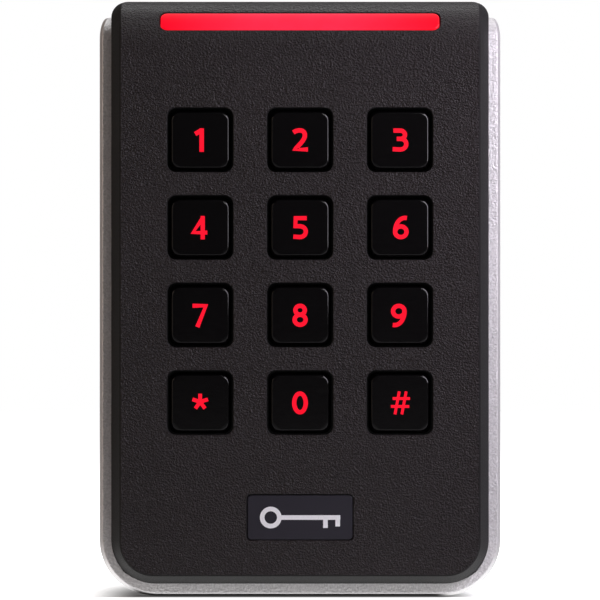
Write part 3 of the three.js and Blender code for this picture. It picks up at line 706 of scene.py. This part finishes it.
def buildLens():
    size = (0, barSlot["centre"], barSlot["width"], barSlot["height"], barSlot["corner"])
    gap, edge = lens["gap"], lens["edgeRound"]
    loop, heights = levelled(aroundLoop(*size, by=-gap - edge))
    middle = spread(heights[8], heights[9], 6)[1:]

    def withEnds(ring, by):
        # straight ends get a point at each middle height
        halfWidth, half = barSlot["width"] / 2 + by, len(ring) // 2
        right = [(halfWidth, height) for height in middle]
        left = [(-halfWidth, height) for height in reversed(middle)]
        return ring[:half] + left + ring[half:] + right

    loop = withEnds(loop, -gap - edge)
    points, indices = numbered(loop)
    ties = [tuple(endsAt(points, indices[0], height)) for height in heights + middle]
    found, sheet = triangulate(points, indices, ties)
    triangles = [triangle for triangle, _ in sheet]
    skin = Skin()
    skin.sheet([onCover(*point) for point in found], triangles)
    rings = [[onCover(*point) for point in loop]]
    for inward, deep in [*roundOver(edge, 4)[1:], (0.0, lens["deep"])]:
        by = -gap - inward
        rings.append([onCover(*point, deep) for point in withEnds(aroundLoop(*size, by=by), by)])
    skin.rings(*rings)
    skin.sheet(rings[-1], triangles)
    return newPiece("lightBarLens", skin, "reader", "lens_red", barRed, ["light_bar_lens"])


buildLens()

print("keys and legends")

key = {
    "width": 12.3,
    "height": 12.0,
    "corner": 1.62,
    "rim": 0.78,  # from the key's side in to its flat top
    "rimRound": 0.22,
    "skirt": (0.1, 1.5),  # in from the side, and back from the face
    "legendDeep": 0.3,
    "legendGap": 0.02,
    "legendProud": 0.01,
    "flange": 0.8,
}
capLow, capHigh = boxOf("key_cap_5")
keyFace = capLow.y
flangeFront = capHigh.y - key["flange"]


def straight(*numbers):
    return list(zip(numbers[::2], numbers[1::2]))


def bend(start, *pieces, steps=14):
    # straight pieces have one point, curved pieces two handles and an end
    points = [start]
    for piece in pieces:
        if len(piece) == 2:
            points.append(piece)
            continue
        ax, az = points[-1]
        bx, bz, cx, cz, dx, dz = piece
        for step in range(1, steps + 1):
            t = step / steps
            u = 1 - t
            points.append((
                u ** 3 * ax + 3 * u * u * t * bx + 3 * u * t * t * cx + t ** 3 * dx,
                u ** 3 * az + 3 * u * u * t * bz + 3 * u * t * t * cz + t ** 3 * dz,
            ))
    return points


def ovalHalves(x, z, radiusX, radiusZ, steps=20):
    # two halves that overlap a little, so that each band is a plain outline
    halves = []
    for start in (0, math.pi):
        half = []
        for step in range(-1, steps + 2):
            angle = start + step / steps * math.pi
            half.append((x + radiusX * math.cos(angle), z + radiusZ * math.sin(angle)))
        halves.append(half)
    return halves


def turned(points):
    return [(-x, -z) for x, z in points]


sixTail = bend((1.38, 1.9), (0.1, 2.15, -0.95, 0.9, -0.92, -0.85))
starArms = []
for i in range(5):
    turn = math.radians(90 + 72 * i)
    starArms.append(straight(0, 0.2, 1.6 * math.cos(turn), 0.2 + 1.6 * math.sin(turn)))
legends = {
    "1": ([straight(0.29, 2.3, 0.29, -2.3), straight(-0.98, 1.2, 0.4, 2)], 0.87),
    "2": (
        [bend(
            (-1.3, 1.5), (-0.4, 2.15, 1.05, 2.1, 0.95, 0.85),
            (0.9, 0.1, 0.1, -0.7, -1.0, -1.83), (1.55, -1.83),
        )],
        0.87,
    ),
    "3": (
        [
            bend((-1.25, 1.87), (0.1, 1.87), (1.3, 1.8, 1.3, 0.35, 0.2, 0.25), (-0.6, 0.25)),
            bend((-0.5, 0.25), (0.2, 0.25), (1.7, 0.15, 1.6, -1.8, 0.05, -1.85), (-1.4, -1.78)),
        ],
        0.85,
    ),
    "4": ([straight(0.5, 2.3, 0.5, -2.3), straight(1.4, -0.95, -1.4, -0.95, 0.55, 1.95)], 0.82),
    "5": (
        [bend(
            (1.32, 1.87), (-0.85, 1.87), (-0.9, 0.3), (-0.1, 0.3),
            (1.6, 0.25, 1.5, -1.8, -0.05, -1.85), (-1.3, -1.75),
        )],
        0.85,
    ),
    "6": ([sixTail, *ovalHalves(0.2, -0.8, 1.12, 1.05)], 0.85),
    "7": ([straight(-1.5, 1.87, 1.12, 1.87, -0.55, -2.3)], 0.84),
    "8": ([*ovalHalves(0.02, 1, 0.92, 0.86), *ovalHalves(0.02, -0.88, 1.08, 0.98)], 0.85),
    "9": ([turned(sixTail), *ovalHalves(-0.2, 0.8, 1.12, 1.05)], 0.85),
    "star": (starArms, 0.74),
    "0": (ovalHalves(0, 0, 1.13, 1.84), 0.85),
    "hash": (
        [
            straight(-0.95, -2.25, -0.1, 2.25),
            straight(0.4, -2.25, 1.25, 2.25),
            straight(-1.4, 0.85, 2, 0.85),
            straight(-1.75, -0.7, 1.85, -0.7),
        ],
        0.56,
    ),
}


def band(points, width, longer=0.0):
    # the outline of a stroke along a centre line
    line = [Vector(point) for point in points]
    line[0] = line[0] + (line[0] - line[1]).normalized() * longer
    line[-1] = line[-1] + (line[-1] - line[-2]).normalized() * longer
    left, right = [], []
    for i, point in enumerate(line):
        before = (point - line[i - 1]).normalized() if i else None
        after = (line[i + 1] - point).normalized() if i < len(line) - 1 else None
        along = ((before or after) + (after or before)).normalized()
        stretch = min(1 / along.dot(before or after), 1.3)  # blunts the sharpest corners
        aside = Vector((-along.y, along.x)) * width / 2 * stretch
        left.append(tuple(point + aside))
        right.append(tuple(point - aside))
    return right + left[::-1]


def movedBands(name, centre, grow):
    strokes, width = legends[name]
    x, z = centre
    bands = [band(points, width + 2 * grow, grow) for points in strokes]
    return [[(x + across, z + up) for across, up in outline] for outline in bands]


def uprightSides(skin, found, triangles, topY, floorY):
    # a wall along each edge that only one of the triangles has
    directed = {(t[i], t[(i + 1) % 3]) for t in triangles for i in range(3)}
    for a, b in directed:
        if (b, a) not in directed:
            (ax, az), (bx, bz) = found[a], found[b]
            start = len(skin.points)
            skin.points.extend([(ax, topY, az), (ax, floorY, az), (bx, floorY, bz), (bx, topY, bz)])
            skin.faces.append((start, start + 1, start + 2, start + 3))


def raisedSkin(found, sheet, topY, floorY):
    # a flat-topped solid over the whole sheet
    triangles = [triangle for triangle, holders in sheet]
    skin = Skin()
    skin.sheet(flatAt(found, topY), triangles)
    uprightSides(skin, found, triangles, topY, floorY)
    skin.sheet(flatAt(found, floorY), triangles)
    return skin


def buildKey(name):
    centre = keyCentre(name)
    size = (*centre, key["width"], key["height"], key["corner"])
    faceLoop = aroundLoop(*size[:4], key["corner"] + key["rim"], by=-key["rim"])
    found, sheet = sheetOf(faceLoop, *movedBands(name, centre, key["legendGap"]))
    skin = Skin()
    floorY = keyFace + key["legendDeep"]
    pocket = [triangle for triangle, holders in sheet if len(holders) > 1]
    skin.sheet(flatAt(found, keyFace), outside(sheet))
    skin.sheet(flatAt(found, floorY), pocket)
    uprightSides(skin, found, pocket, keyFace, floorY)
    rings = [flatAt(faceLoop, keyFace)]
    profile = []
    for step in range(1, 6):
        angle = step / 5 * math.radians(68)
        profile.append((
            key["rim"] - key["rimRound"] * math.sin(angle), key["rimRound"] * (1 - math.cos(angle))
        ))
    for inward, deep in profile + [key["skirt"]]:
        loop = aroundLoop(*size[:4], key["corner"] + inward, by=-inward)
        rings.append(flatAt(loop, keyFace + deep))
    flange = aroundLoop(*size, by=key["flange"])
    rings.append(flatAt(aroundLoop(*size), flangeFront))
    rings.append(flatAt(flange, flangeFront))
    rings.append(flatAt(flange, capHigh.y))
    skin.rings(*rings)
    skin.lid(flatAt(flange, capHigh.y))
    body = bodyOf(f"key_cap_{name}")
    newPiece(f"keyCap_{name}", skin, body, "key_black", keyBlack, [f"key_cap_{name}"])

    found, sheet = sheetOf(*movedBands(name, centre, 0.0))
    skin = raisedSkin(found, sheet, keyFace - key["legendProud"], floorY - key["legendGap"])
    newPiece(f"keyLegend_{name}", skin, body, "legend_red", legendRed, [f"key_legend_{name}"])


for keyName in keyNames:
    buildKey(keyName)

print("badge")

mark = {
    "length": 15.8,
    "ring": 1.68,
    "band": 0.95,
    "shaft": 0.9,
    "bits": ((0.5, 1.75), (2.9, 2.05)),  # each bit's distance from the tip, and its length
    "thick": 0.16,
    "proud": 0.06,
}


def buildBadge():
    size = (0, badgeSize["centre"], badgeSize["width"], badgeSize["height"], badgeSize["corner"])
    front, edge = badgeLow.y, badgeSize["edgeRound"]
    rings = [
        flatAt(aroundLoop(*size, by=-inward), front + deep) for inward, deep in roundOver(edge, 3)
    ]
    skin = Skin().solid(*rings, flatAt(aroundLoop(*size), badgeHigh.y))
    newPiece("badgePlate", skin, "reader", "badge_grey", badgeGrey, ["badge_plate"])

    # a plain door key lying on its side
    z = badgeSize["centre"]
    half = mark["length"] / 2
    ringX = -half + mark["ring"] + mark["band"] / 2
    strokes = [
        *ovalHalves(ringX, z, mark["ring"], mark["ring"]),
        straight(ringX + mark["ring"], z, half, z),
        *(straight(half - back, z, half - back, z - long) for back, long in mark["bits"]),
    ]
    found, sheet = sheetOf(*[band(points, mark["shaft"]) for points in strokes])
    top = front - mark["proud"]
    skin = raisedSkin(found, sheet, top, top + mark["thick"])
    newPiece("badgeMark", skin, "reader", "badge_silver", badgeFoil, ["badge_mark"])


buildBadge()

print("rear housing")

housingLow, housingHigh = boxOf("rear_housing")
housing = {
    "flare": 0.8,
    "corner": 11.0,
    "topAcross": 1.5,
    "topUp": 4.2,
    "wall": 2.4,
    "rim": 6.0,
    "rollHeight": 4.6,
    "rollEnd": -2.0,
    "webRear": -6.5,
    "webFront": -8.0,
    "edgeRound": 0.22,
    "cornerPoints": 15,
    "topSteps": 16,
    "bayCorner": 6.0,
    "frontBayCorner": 4.0,
    "frontBayDrop": 3.2,  # from the start of the roll
    "windows": {"terminal_block_upper": 0.8, "terminal_block_lower": 0.8, "tamper_sensor": 1.2},
    "ribHalf": (30.0, 1.0),
    "lipAside": 14.0,
    "lipHalf": 7.0,
    "lipY": (-3.2, -1.8),
    "lipDrop": 1.6,
    "padHalf": 6.0,
    "padUp": (-0.6, 2.1),  # from the inside of the bottom wall
}
ledgeY = housingLow.y
rollStart = housingHigh.z - housing["rollHeight"]


def ledgeAt(z):
    up = min(max((z - rollStart) / housing["rollHeight"], 0), 1)
    return housing["rollEnd"] + (ledgeY - housing["rollEnd"]) * math.sqrt(1 - up * up)


def blockLoop(node, by):
    low, high = boxOf(node)
    return roundedLoop(low.x - by, high.x + by, low.z - by, high.z + by, 1.0, 4)


def buildHousing():
    edge = housing["edgeRound"]
    # the side has two points just above the start of the roll, so that it bends there softly
    heights = [
        rollStart + 0.09 * housing["rollHeight"] * math.sin(math.radians(9 * i)) for i in range(3)
    ]

    def outline(halfWidth, bottom, corner, by=0.0):
        return coverOutline(
            halfWidth - by, bottom + by, corner - by, housingHigh.z - by * 0.3,
            max(housing["topAcross"] - by, 0.5), housing["topUp"], heights,
            housing["topSteps"], housing["cornerPoints"] - 1,
        )

    half, bottom, wall = housingHigh.x, housingLow.z, housing["wall"]
    frontHalf, frontBottom = half - housing["flare"], bottom + housing["flare"]
    rear = outline(half, bottom, housing["corner"])
    front = outline(frontHalf, frontBottom, housing["corner"])
    inset = outline(frontHalf, frontBottom, housing["corner"], edge)
    bayHalf, bayBottom = frontHalf - housing["rim"], frontBottom + housing["rim"]
    bayTop = rollStart - housing["frontBayDrop"]
    frontBay = roundedLoop(-bayHalf, bayHalf, bayBottom, bayTop, housing["frontBayCorner"])
    rearBay = roundedLoop(
        wall - half, half - wall, bottom + wall, housingHigh.z - wall, housing["bayCorner"]
    )
    windows = [blockLoop(cadName, by) for cadName, by in housing["windows"].items()]

    skin = Skin()
    # the front rim, which rolls back at the top
    points, indices = numbered(inset, frontBay)
    count = len(inset)
    ties = [(i, count - 1 - i) for i in range(housing["cornerPoints"], count // 2)]
    found, sheet = triangulate(points, indices, ties)
    skin.sheet([(x, ledgeAt(z), z) for x, z in found], outside(sheet))
    rings = [[(x, ledgeAt(z), z) for x, z in inset]]
    for inward, deep in roundOver(1, 5)[1:]:
        ring = []
        for (insetX, insetZ), (x, z) in zip(inset, front):
            corner = Vector((x, ledgeAt(z), z))
            towardFace = Vector((insetX, ledgeAt(insetZ), insetZ)) - corner
            ring.append(tuple(corner + towardFace * inward + Vector((0, edge, 0)) * deep))
        rings.append(ring)
    rings.append([(x, housingHigh.y, z) for x, z in rear])
    skin.rings(*rings)
    # rear edge, rear bay, web and front bay
    found, sheet = sheetOf(rear, rearBay)
    skin.sheet(flatAt(found, housingHigh.y), outside(sheet))
    skin.rings(flatAt(rearBay, housingHigh.y), flatAt(rearBay, housing["webRear"]))
    for bay, y in ((rearBay, housing["webRear"]), (frontBay, housing["webFront"])):
        found, sheet = sheetOf(bay, *windows)
        skin.sheet(flatAt(found, y), outside(sheet))
    skin.rings(flatAt(frontBay, housing["webFront"]), flatAt(frontBay, ledgeY))
    for window in windows:
        skin.rings(flatAt(window, housing["webFront"]), flatAt(window, housing["webRear"]))
    piece = placed("rearHousing", skin)
    addRibs(piece)
    drillKeeper(piece)
    return finishPiece(piece, "reader", "housing_silver", housingSilver, ["rear_housing"])


def combine(piece, skin, operation):
    other = placed("tool", skin)
    step = piece.modifiers.new("step", "BOOLEAN")
    step.operation = operation
    step.solver = "EXACT"
    step.object = other
    bpy.context.view_layer.update()
    shaped = bpy.data.meshes.new_from_object(piece.evaluated_get(bpy.context.evaluated_depsgraph_get()))
    piece.modifiers.clear()
    old = piece.data
    piece.data = shaped
    bpy.data.meshes.remove(old)
    bpy.data.objects.remove(other)


def slabSkin(loop, y0, y1):
    return Skin().solid(flatAt(loop, y0), flatAt(loop, y1))


def uprightRod(y, radius, z0, z1, sides=32):
    # a rod that stands in the middle of the reader's width
    return Skin().solid(*([(x, y + aside, z) for x, aside in circle(radius, sides)] for z in (z0, z1)))


def holedSkin(outline, holes, y0, y1):
    # a flat plate with openings through it
    found, sheet = sheetOf(outline, *holes)
    skin = Skin()
    for y in (y0, y1):
        skin.sheet(flatAt(found, y), outside(sheet))
    for loop in [outline, *holes]:
        skin.rings(flatAt(loop, y0), flatAt(loop, y1))
    return skin


plateLow, plateHigh = boxOf("mounting_plate")
keeperLow, keeperHigh = boxOf("retaining_screw")
keeper = {
    "y": (keeperLow.y + keeperHigh.y) / 2,
    "head": (keeperHigh.x - keeperLow.x) / 2,
    "headThick": 1.2,
    "shank": 1.45,
    "gap": 0.3,
    "counterbore": 2.0,
    "tapped": 1.6,
}


def addRibs(piece):
    # a stiffening rib across the back of the web, and the pad round the retaining screw
    halfLong, halfHigh = housing["ribHalf"]
    root = housing["webRear"] - 0.4  # sunk a little into the web
    rib = roundedLoop(-halfLong, halfLong, -halfHigh, halfHigh, 0.4, 3)
    combine(piece, slabSkin(rib, root + 1.6, root), "UNION")
    wallTop = housingLow.z + housing["wall"]
    foot, top = (wallTop + up for up in housing["padUp"])
    pad = roundedLoop(-housing["padHalf"], housing["padHalf"], foot, top, 0.4, 3)
    combine(piece, slabSkin(pad, root, plateLow.y + 4.4), "UNION")
    # the two lips that hang on the plate's hooks
    bayTop = housingHigh.z - housing["wall"]
    for side in (-1, 1):
        middleX = side * housing["lipAside"]
        outline = roundedLoop(
            middleX - housing["lipHalf"], middleX + housing["lipHalf"],
            plateHigh.z - housing["lipDrop"], bayTop + 0.4, 0.3, 3,
        )
        combine(piece, slabSkin(outline, *housing["lipY"]), "UNION")


def drillKeeper(piece):
    wallTop = housingLow.z + housing["wall"]
    low, gap = housingLow.z, keeper["gap"]
    shank = uprightRod(keeper["y"], keeper["shank"] + gap, low - 1, wallTop + 4)
    combine(piece, shank, "DIFFERENCE")
    sink = uprightRod(keeper["y"], keeper["head"] + gap, low - 1, low + keeper["counterbore"])
    combine(piece, sink, "DIFFERENCE")


buildHousing()

print("mounting plate")

plate = {
    "corner": 5.0,
    "thick": 1.5,
    "windowHalf": 17.0,
    "window": (6.0, 30.0),  # each window's near and far edges, up from the middle or down
    "windowCorner": 3.0,
    "slotUp": 41.65,
    "slotAside": 30.15,
    "slot": (7.0, 3.9),
    "edgeRound": 0.12,
    "hookAside": 14.0,
    "tabHalf": 6.0,
    "tabThick": 1.5,
}
hook = {
    "width": 10.0,
    "thick": 1.2,
    "reach": 3.2,
    "rise": 3.1,
    "above": 1.9,  # how far the hooks stand above the plate's top edge
    "bend": 1.1,
    "root": -1.3,
}


def buildPlate():
    plateTop = plateHigh.z - hook["above"]
    outline = roundedLoop(plateLow.x, plateHigh.x, plateLow.z, plateTop, plate["corner"])
    near, far = plate["window"]
    half, corner = plate["windowHalf"], plate["windowCorner"]
    long, wide = plate["slot"]
    slotEnd = wide / 2 - 0.01
    holes = [
        roundedLoop(-half, half, near, far, corner),
        roundedLoop(-half, half, -far, -near, corner),
        aroundLoop(0, plate["slotUp"], long, wide, slotEnd),
        aroundLoop(0, -plate["slotUp"], long, wide, slotEnd),
        aroundLoop(plate["slotAside"], 0, wide, long, slotEnd),
        aroundLoop(-plate["slotAside"], 0, wide, long, slotEnd),
    ]
    piece = placed("mountingPlate", holedSkin(outline, holes, -plate["thick"], 0))
    for side in (-1, 1):
        combine(piece, hookSkin(side * plate["hookAside"], plateTop), "UNION")
    low, half = plateLow.z, plate["tabHalf"]
    tab = roundedLoop(-half, half, low, low + plate["tabThick"], 0.02, 2)
    combine(piece, slabSkin(tab, plateLow.y, hook["root"]), "UNION")
    tapped = uprightRod(keeper["y"], keeper["tapped"], low - 1, low + 3)
    combine(piece, tapped, "DIFFERENCE")
    bevel = plate["edgeRound"]
    return finishPiece(piece, "reader", "plate_steel", plateSteel, ["mounting_plate"], bevel=bevel)


def hookSkin(x, plateTop):
    # an L bent forward and up, with a round outer bend
    half, thick, bent, root = hook["width"] / 2, hook["thick"], hook["bend"], hook["root"]
    front, low = -plate["thick"] - hook["reach"], plateTop - thick
    top = low + hook["rise"]
    profile = [(root, low)]
    for step in range(7):
        angle = -math.pi / 2 - step / 6 * math.pi / 2
        profile.append((front + bent + bent * math.cos(angle), low + bent + bent * math.sin(angle)))
    profile += [(front, top), (front + thick, top), (front + thick, low + thick), (root, low + thick)]
    return Skin().solid(*([(x + side * half, y, z) for y, z in profile] for side in (-1, 1)))


buildPlate()

print("screws and terminals")


thread = {"pitch": 0.5, "start": 0.3, "core": 0.84, "plain": 0.8, "point": 0.4}
cross = {"arm": 0.58, "half": 0.12, "deep": 0.35, "rounded": 0.6}  # as parts of the head


def screwSkin(head, headThick, shank, length, sides=32):
    # a domed head towards -Y with its seat at y = 0, and a shank towards +Y
    profile = [(head * 0.55, -headThick), (head * 0.85, -headThick * 0.86)]
    profile += [(head, -headThick * 0.45), (head, 0.0), (shank, 0.0)]
    pitch = thread["pitch"]
    for turn in range(int((length - thread["plain"]) / pitch)):
        start = thread["start"] + turn * pitch
        profile += [(shank, start), (shank * thread["core"], start + pitch / 2)]
    profile += [(shank, length - thread["point"]), (shank * 0.6, length)]
    return Skin().solid(*([(x, y, z) for x, z in circle(radius, sides)] for radius, y in profile))


def crossTools(head, headThick):
    arm, half, deep = head * cross["arm"], head * cross["half"], -headThick * cross["deep"]
    rounded = half * cross["rounded"]
    for x, z in ((arm, half), (half, arm)):
        yield slabSkin(roundedLoop(-x, x, -z, z, rounded, 2), -headThick - 1, deep)


def buildScrew(name, cadName, head, headThick, shank, length, turn, seat):
    piece = placed(name, screwSkin(head, headThick, shank, length))
    for tool in crossTools(head, headThick):
        combine(piece, tool, "DIFFERENCE")
    piece.data.transform(Matrix.Translation(Vector(seat) * mm) @ turn)
    return finishPiece(piece, bodyOf(cadName), "screw_steel", screwSteel, [cadName])


headDown = Matrix.Rotation(math.radians(90), 4, "X")
headBack = Matrix.Rotation(math.radians(180), 4, "X")
buildScrew(
    "retainingScrew", "retaining_screw", keeper["head"], keeper["headThick"], keeper["shank"],
    keeperHigh.z - keeperLow.z - keeper["headThick"],
    headDown, (0, keeper["y"], keeperLow.z + keeper["headThick"]),
)
coverScrew = {"head": 2.6, "headThick": 1.5, "shank": 1.2, "length": 8.5}
for number in range(1, 7):
    cadName = f"cover_screw_{number}"
    x, z = middleOf(cadName)
    seat = (x, boxOf(cadName)[1].y - coverScrew["headThick"], z)
    buildScrew(f"coverScrew_{number}", cadName, *coverScrew.values(), headBack, seat)

terminal = {
    "pitch": 5.08,
    "up": 1.4,
    "screw": (1.38, 0.9, 0.8, 1.0, 20),  # head, its thickness, shank, length and sides
    "seat": 1.2,
    "slotHalf": (1.6, 0.18),
    "slotFloor": 0.75,
}


def buildTerminalScrews():
    skin, slots = Skin(), Skin()
    halfLong, halfWide = terminal["slotHalf"]
    for cadName in ("terminal_block_upper", "terminal_block_lower"):
        middle = middleOf(cadName)[1]
        z = middle + math.copysign(terminal["up"], middle)
        rear = boxOf(cadName)[1].y
        for way in range(-2, 3):
            x = way * terminal["pitch"]
            part = screwSkin(*terminal["screw"])
            # turned so that the head faces the wall
            seat = rear - terminal["seat"]
            skin.sheet([(x + px, seat - py, z - pz) for px, py, pz in part.points], part.faces)
            cut = roundedLoop(x - halfLong, x + halfLong, z - halfWide, z + halfWide, 0.05, 1)
            slots.solid(flatAt(cut, rear - terminal["slotFloor"]), flatAt(cut, rear + 1))
    piece = placed("terminalScrews", skin)
    combine(piece, slots, "DIFFERENCE")
    return finishPiece(piece, "reader", "screw_steel", screwSteel)


buildTerminalScrews()

print("keypad mat")

mat = {
    "corner": 2.0,
    "thick": 1.0,
    "padHalf": 4.2,
    "padCorner": 1.5,
    "padCrown": 0.25,
    "sunk": 0.1,
    "screwHole": 2.3,
    "pressedTo": 0.2,
}


def buildMat():
    low, high = boxOf("keypad_mat")
    front = high.y - mat["thick"]
    outline = roundedLoop(low.x, high.x, low.z, high.z, mat["corner"])
    holes = []
    for i in range(4):
        x, z = middleOf(f"keypad_board_screw_{i + 1}")
        holes.append(aroundLoop(x, z, 0, 0, 0, mat["screwHole"], 6))
    skin = holedSkin(outline, holes, front, high.y)
    newPiece("keypadMat", skin, "reader", "mat_silicone", matSilicone, ["keypad_mat"])
    # one soft pad under each key, made in its rest shape; the real pad flattens as the key goes in
    for name in keyNames:
        x, z = keyCentre(name)
        crown, side = mat["padCrown"], 2 * mat["padHalf"]
        foot = aroundLoop(x, z, side, side, mat["padCorner"])
        top = aroundLoop(x, z, side, side, mat["padCorner"], -crown)
        base = flatAt(foot, front + mat["sunk"])
        pad = Skin().solid(flatAt(top, low.y), flatAt(foot, low.y + crown), base)
        piece = newPiece(f"matPad_{name}", pad, "reader", "mat_silicone", matSilicone)
        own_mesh(piece)


buildMat()

print("pieces kept from the design")

kept = {
    "housing_gasket": gasketRubber,
    "light_guide": guideClear,
    "led_board": boardGreen,
    "dome_sheet": domeFilm,
    "keypad_board": boardGreen,
    "main_board": boardGreen,
    "ferrite_frame": ferriteGrey,
    "antenna_coil": coilCopper,
    "shield_can": shieldTin,
    "board_connector": nylonCream,
    "buzzer": partBlack,
    "tamper_sensor": partBlack,
    "terminal_block_upper": nylonGreen,
    "terminal_block_lower": nylonGreen,
}
for board, count in (("keypad_board", 4), ("main_board", 2)):
    kept |= {f"{board}_screw_{number}": screwSteel for number in range(1, count + 1)}
for cadName, material in kept.items():
    part = frame["nodes"][cadName]
    if part.material_slots:
        for materialSlot in part.material_slots:
            materialSlot.material = material
    else:
        part.data.materials.append(material)
for cadName in ("terminal_block_upper", "terminal_block_lower", "shield_can", "board_connector"):
    softenEdges(frame["nodes"][cadName], 0.15, 2)

print("floor, light and camera")

studio = {
    "floorSize": 4.0,
    "floorColour": (0.8, 0.8, 0.8),
    # painted contact shadow: where it darkens the floor paper, and how far it spreads
    "footprintX": (-0.032, 0.027),
    "footprintY": (-0.006, 0.006),
    "shadowReach": 0.014,
    "shadowBack": 0.2,  # how fast the shadow fades behind the reader, where 1 is as at its sides
    "bounce": 0.35,
    # painted shade: the camera sees the floor glow weaker near the reader
    "glowSeen": (0.75, 1.0),  # near the reader and far from it
    "glowSeenAt": (0.05, 0.16),
    # painted light: extra camera-seen glow on the floor under the reader's front
    "glowUnder": 0.8,
    "glowUnderAt": (-0.011, -0.005),
    "glowGiven": (1.5, 0.04),
    "glowGivenAt": (0.008, 0.05),
    "givenInFront": (0.55, 1),
    "givenInFrontAt": (-0.016, -0.01),
    "surround": 0.02,
}


def buildFloor():
    mesh = bpy.data.meshes.new("floor")
    half = studio["floorSize"] / 2
    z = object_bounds()[0][2]
    corners = [(-half, -half, z), (half, -half, z), (half, half, z), (-half, half, z)]
    mesh.from_pydata(corners, [], [(0, 1, 2, 3)])
    floor = bpy.data.objects.new("floor", mesh)
    scene.collection.objects.link(floor)
    material, tree, shader = newFinish("floorPaper")
    shader.inputs["Roughness"].default_value = 0.9
    place = node(tree, "ShaderNodeTexCoord").outputs["Object"]
    parts = node(tree, "ShaderNodeSeparateXYZ", {0: place})
    away = node(tree, "ShaderNodeVectorMath", {0: place}, operation="LENGTH").outputs["Value"]
    # painted contact shadow: the paper's colour and its camera glow darken where the reader stands on it
    near = []
    for axis, behind in (("X", 1), ("Y", studio["shadowBack"])):
        low, high = studio["footprint" + axis]
        below = sums(tree, "MAXIMUM", sums(tree, "SUBTRACT", low, parts.outputs[axis]), 0.0)
        above = sums(tree, "MAXIMUM", sums(tree, "SUBTRACT", parts.outputs[axis], high), 0.0)
        beyond = sums(tree, "ADD", below, times(tree, above, behind))
        near.append(times(tree, beyond, beyond))
    reach = sums(tree, "SQRT", sums(tree, "ADD", *near), 0)
    paintedShadowFactor = between(tree, reach, 0.06, 1, 0.0, studio["shadowReach"], True)
    tone = noise(tree, millimetres(tree), 0.3, 3)
    colour = studio["floorColour"]
    plain = shade(tree, tone, [(0.3, colour), (0.7, lighter(colour, 1.01))])
    cameraRay = node(tree, "ShaderNodeLightPath").outputs["Is Camera Ray"]
    shown = times(tree, paintedShadowFactor, between(tree, cameraRay, studio["bounce"], 1.0))
    paper = node(tree, "ShaderNodeVectorMath", {0: plain, "Scale": shown}, operation="SCALE")
    # and is lit from below further out, so that it stays even up to the horizon; its weaker glow near the
    # reader is painted shade
    depth = parts.outputs["Y"]
    seen = between(tree, away, *studio["glowSeen"], *studio["glowSeenAt"], True)
    # painted light: extra glow under the reader's front, seen only by the camera
    front = between(tree, depth, studio["glowUnder"], 0, *studio["glowUnderAt"], True)
    seen = sums(tree, "ADD", times(tree, seen, paintedShadowFactor), front)
    # what it gives the reader is strongest close by, though not under it or in front
    given = between(tree, reach, *studio["glowGiven"], *studio["glowGivenAt"], True)
    given = times(tree, given, between(tree, reach, 0, 1, 0.0, 0.004, True))
    inFront = between(tree, depth, *studio["givenInFront"], *studio["givenInFrontAt"], True)
    given = times(tree, given, inFront)
    glow = sums(
        tree, "ADD",
        times(tree, seen, cameraRay),
        times(tree, given, sums(tree, "SUBTRACT", 1.0, cameraRay)),
    )
    feed(tree, shader, {
        "Base Color": paper.outputs["Vector"],
        "Emission Color": (1, 1, 1, 1),
        "Emission Strength": glow,
    })
    mesh.materials.append(material)


def areaLight(name, place, aim, size, power, colour=(1, 1, 1)):
    light = bpy.data.lights.new(name, "AREA")
    light.shape = "RECTANGLE"
    light.size, light.size_y = size
    light.energy = power
    light.color = colour
    lamp = bpy.data.objects.new(name, light)
    scene.collection.objects.link(lamp)
    lamp.location = place
    lamp.rotation_euler = (Vector(aim) - Vector(place)).to_track_quat("-Z", "Y").to_euler()
    lamp.visible_camera = False
    return lamp


def buildStudio():
    lights = {
        "rightSoftbox": ((0.13, -0.09, 0.075), (0, -0.02, 0), (0.1, 0.16), 0.48, (1, 0.95, 1.06)),
        "topSoftbox": ((0.06, 0.42, 0.8), (0, 0, 0.05), (1.2, 0.9), 7.0, (1, 1, 1)),
        "topFront": ((0.25, -0.9, 0.3), (0, 0, 0), (0.3, 0.06), 0.9, (1, 1, 1)),
        "rightRear": ((0.34, 0.24, 0.05), (0.03, 0, 0), (0.16, 0.5), 0.16, (1, 0.98, 1.06)),
        "leftFill": ((-0.5, -0.12, 0.1), (0, 0, 0), (0.3, 0.5), 1.3, (1, 0.8, 0.66)),
    }
    for name, (place, aim, size, power, colour) in lights.items():
        areaLight(name, place, aim, size, power, colour)
    world = bpy.data.worlds.new("paperSurround")
    scene.world = world
    world.use_nodes = True
    tree = world.node_tree
    background = tree.nodes["Background"]
    cameraRay = node(tree, "ShaderNodeLightPath").outputs["Is Camera Ray"]
    strength = between(tree, cameraRay, studio["surround"], 1.0)
    feed(tree, background, {"Strength": strength, "Color": (1, 1, 1, 1)})


view = {"lens": 366.8, "sensor": 36, "away": 1.2}


def buildCamera():
    camera = bpy.data.cameras.new("camera")
    camera.lens = view["lens"]
    camera.sensor_width = view["sensor"]
    camera.clip_start = 0.05
    camera.clip_end = 20
    holder = bpy.data.objects.new("camera", camera)
    scene.collection.objects.link(holder)
    holder.location = (0, faceY * mm - view["away"], 0)
    holder.rotation_euler = (math.radians(90), 0, 0)
    scene.camera = holder


buildFloor()
buildStudio()
buildCamera()
scene.view_settings.view_transform = "Standard"
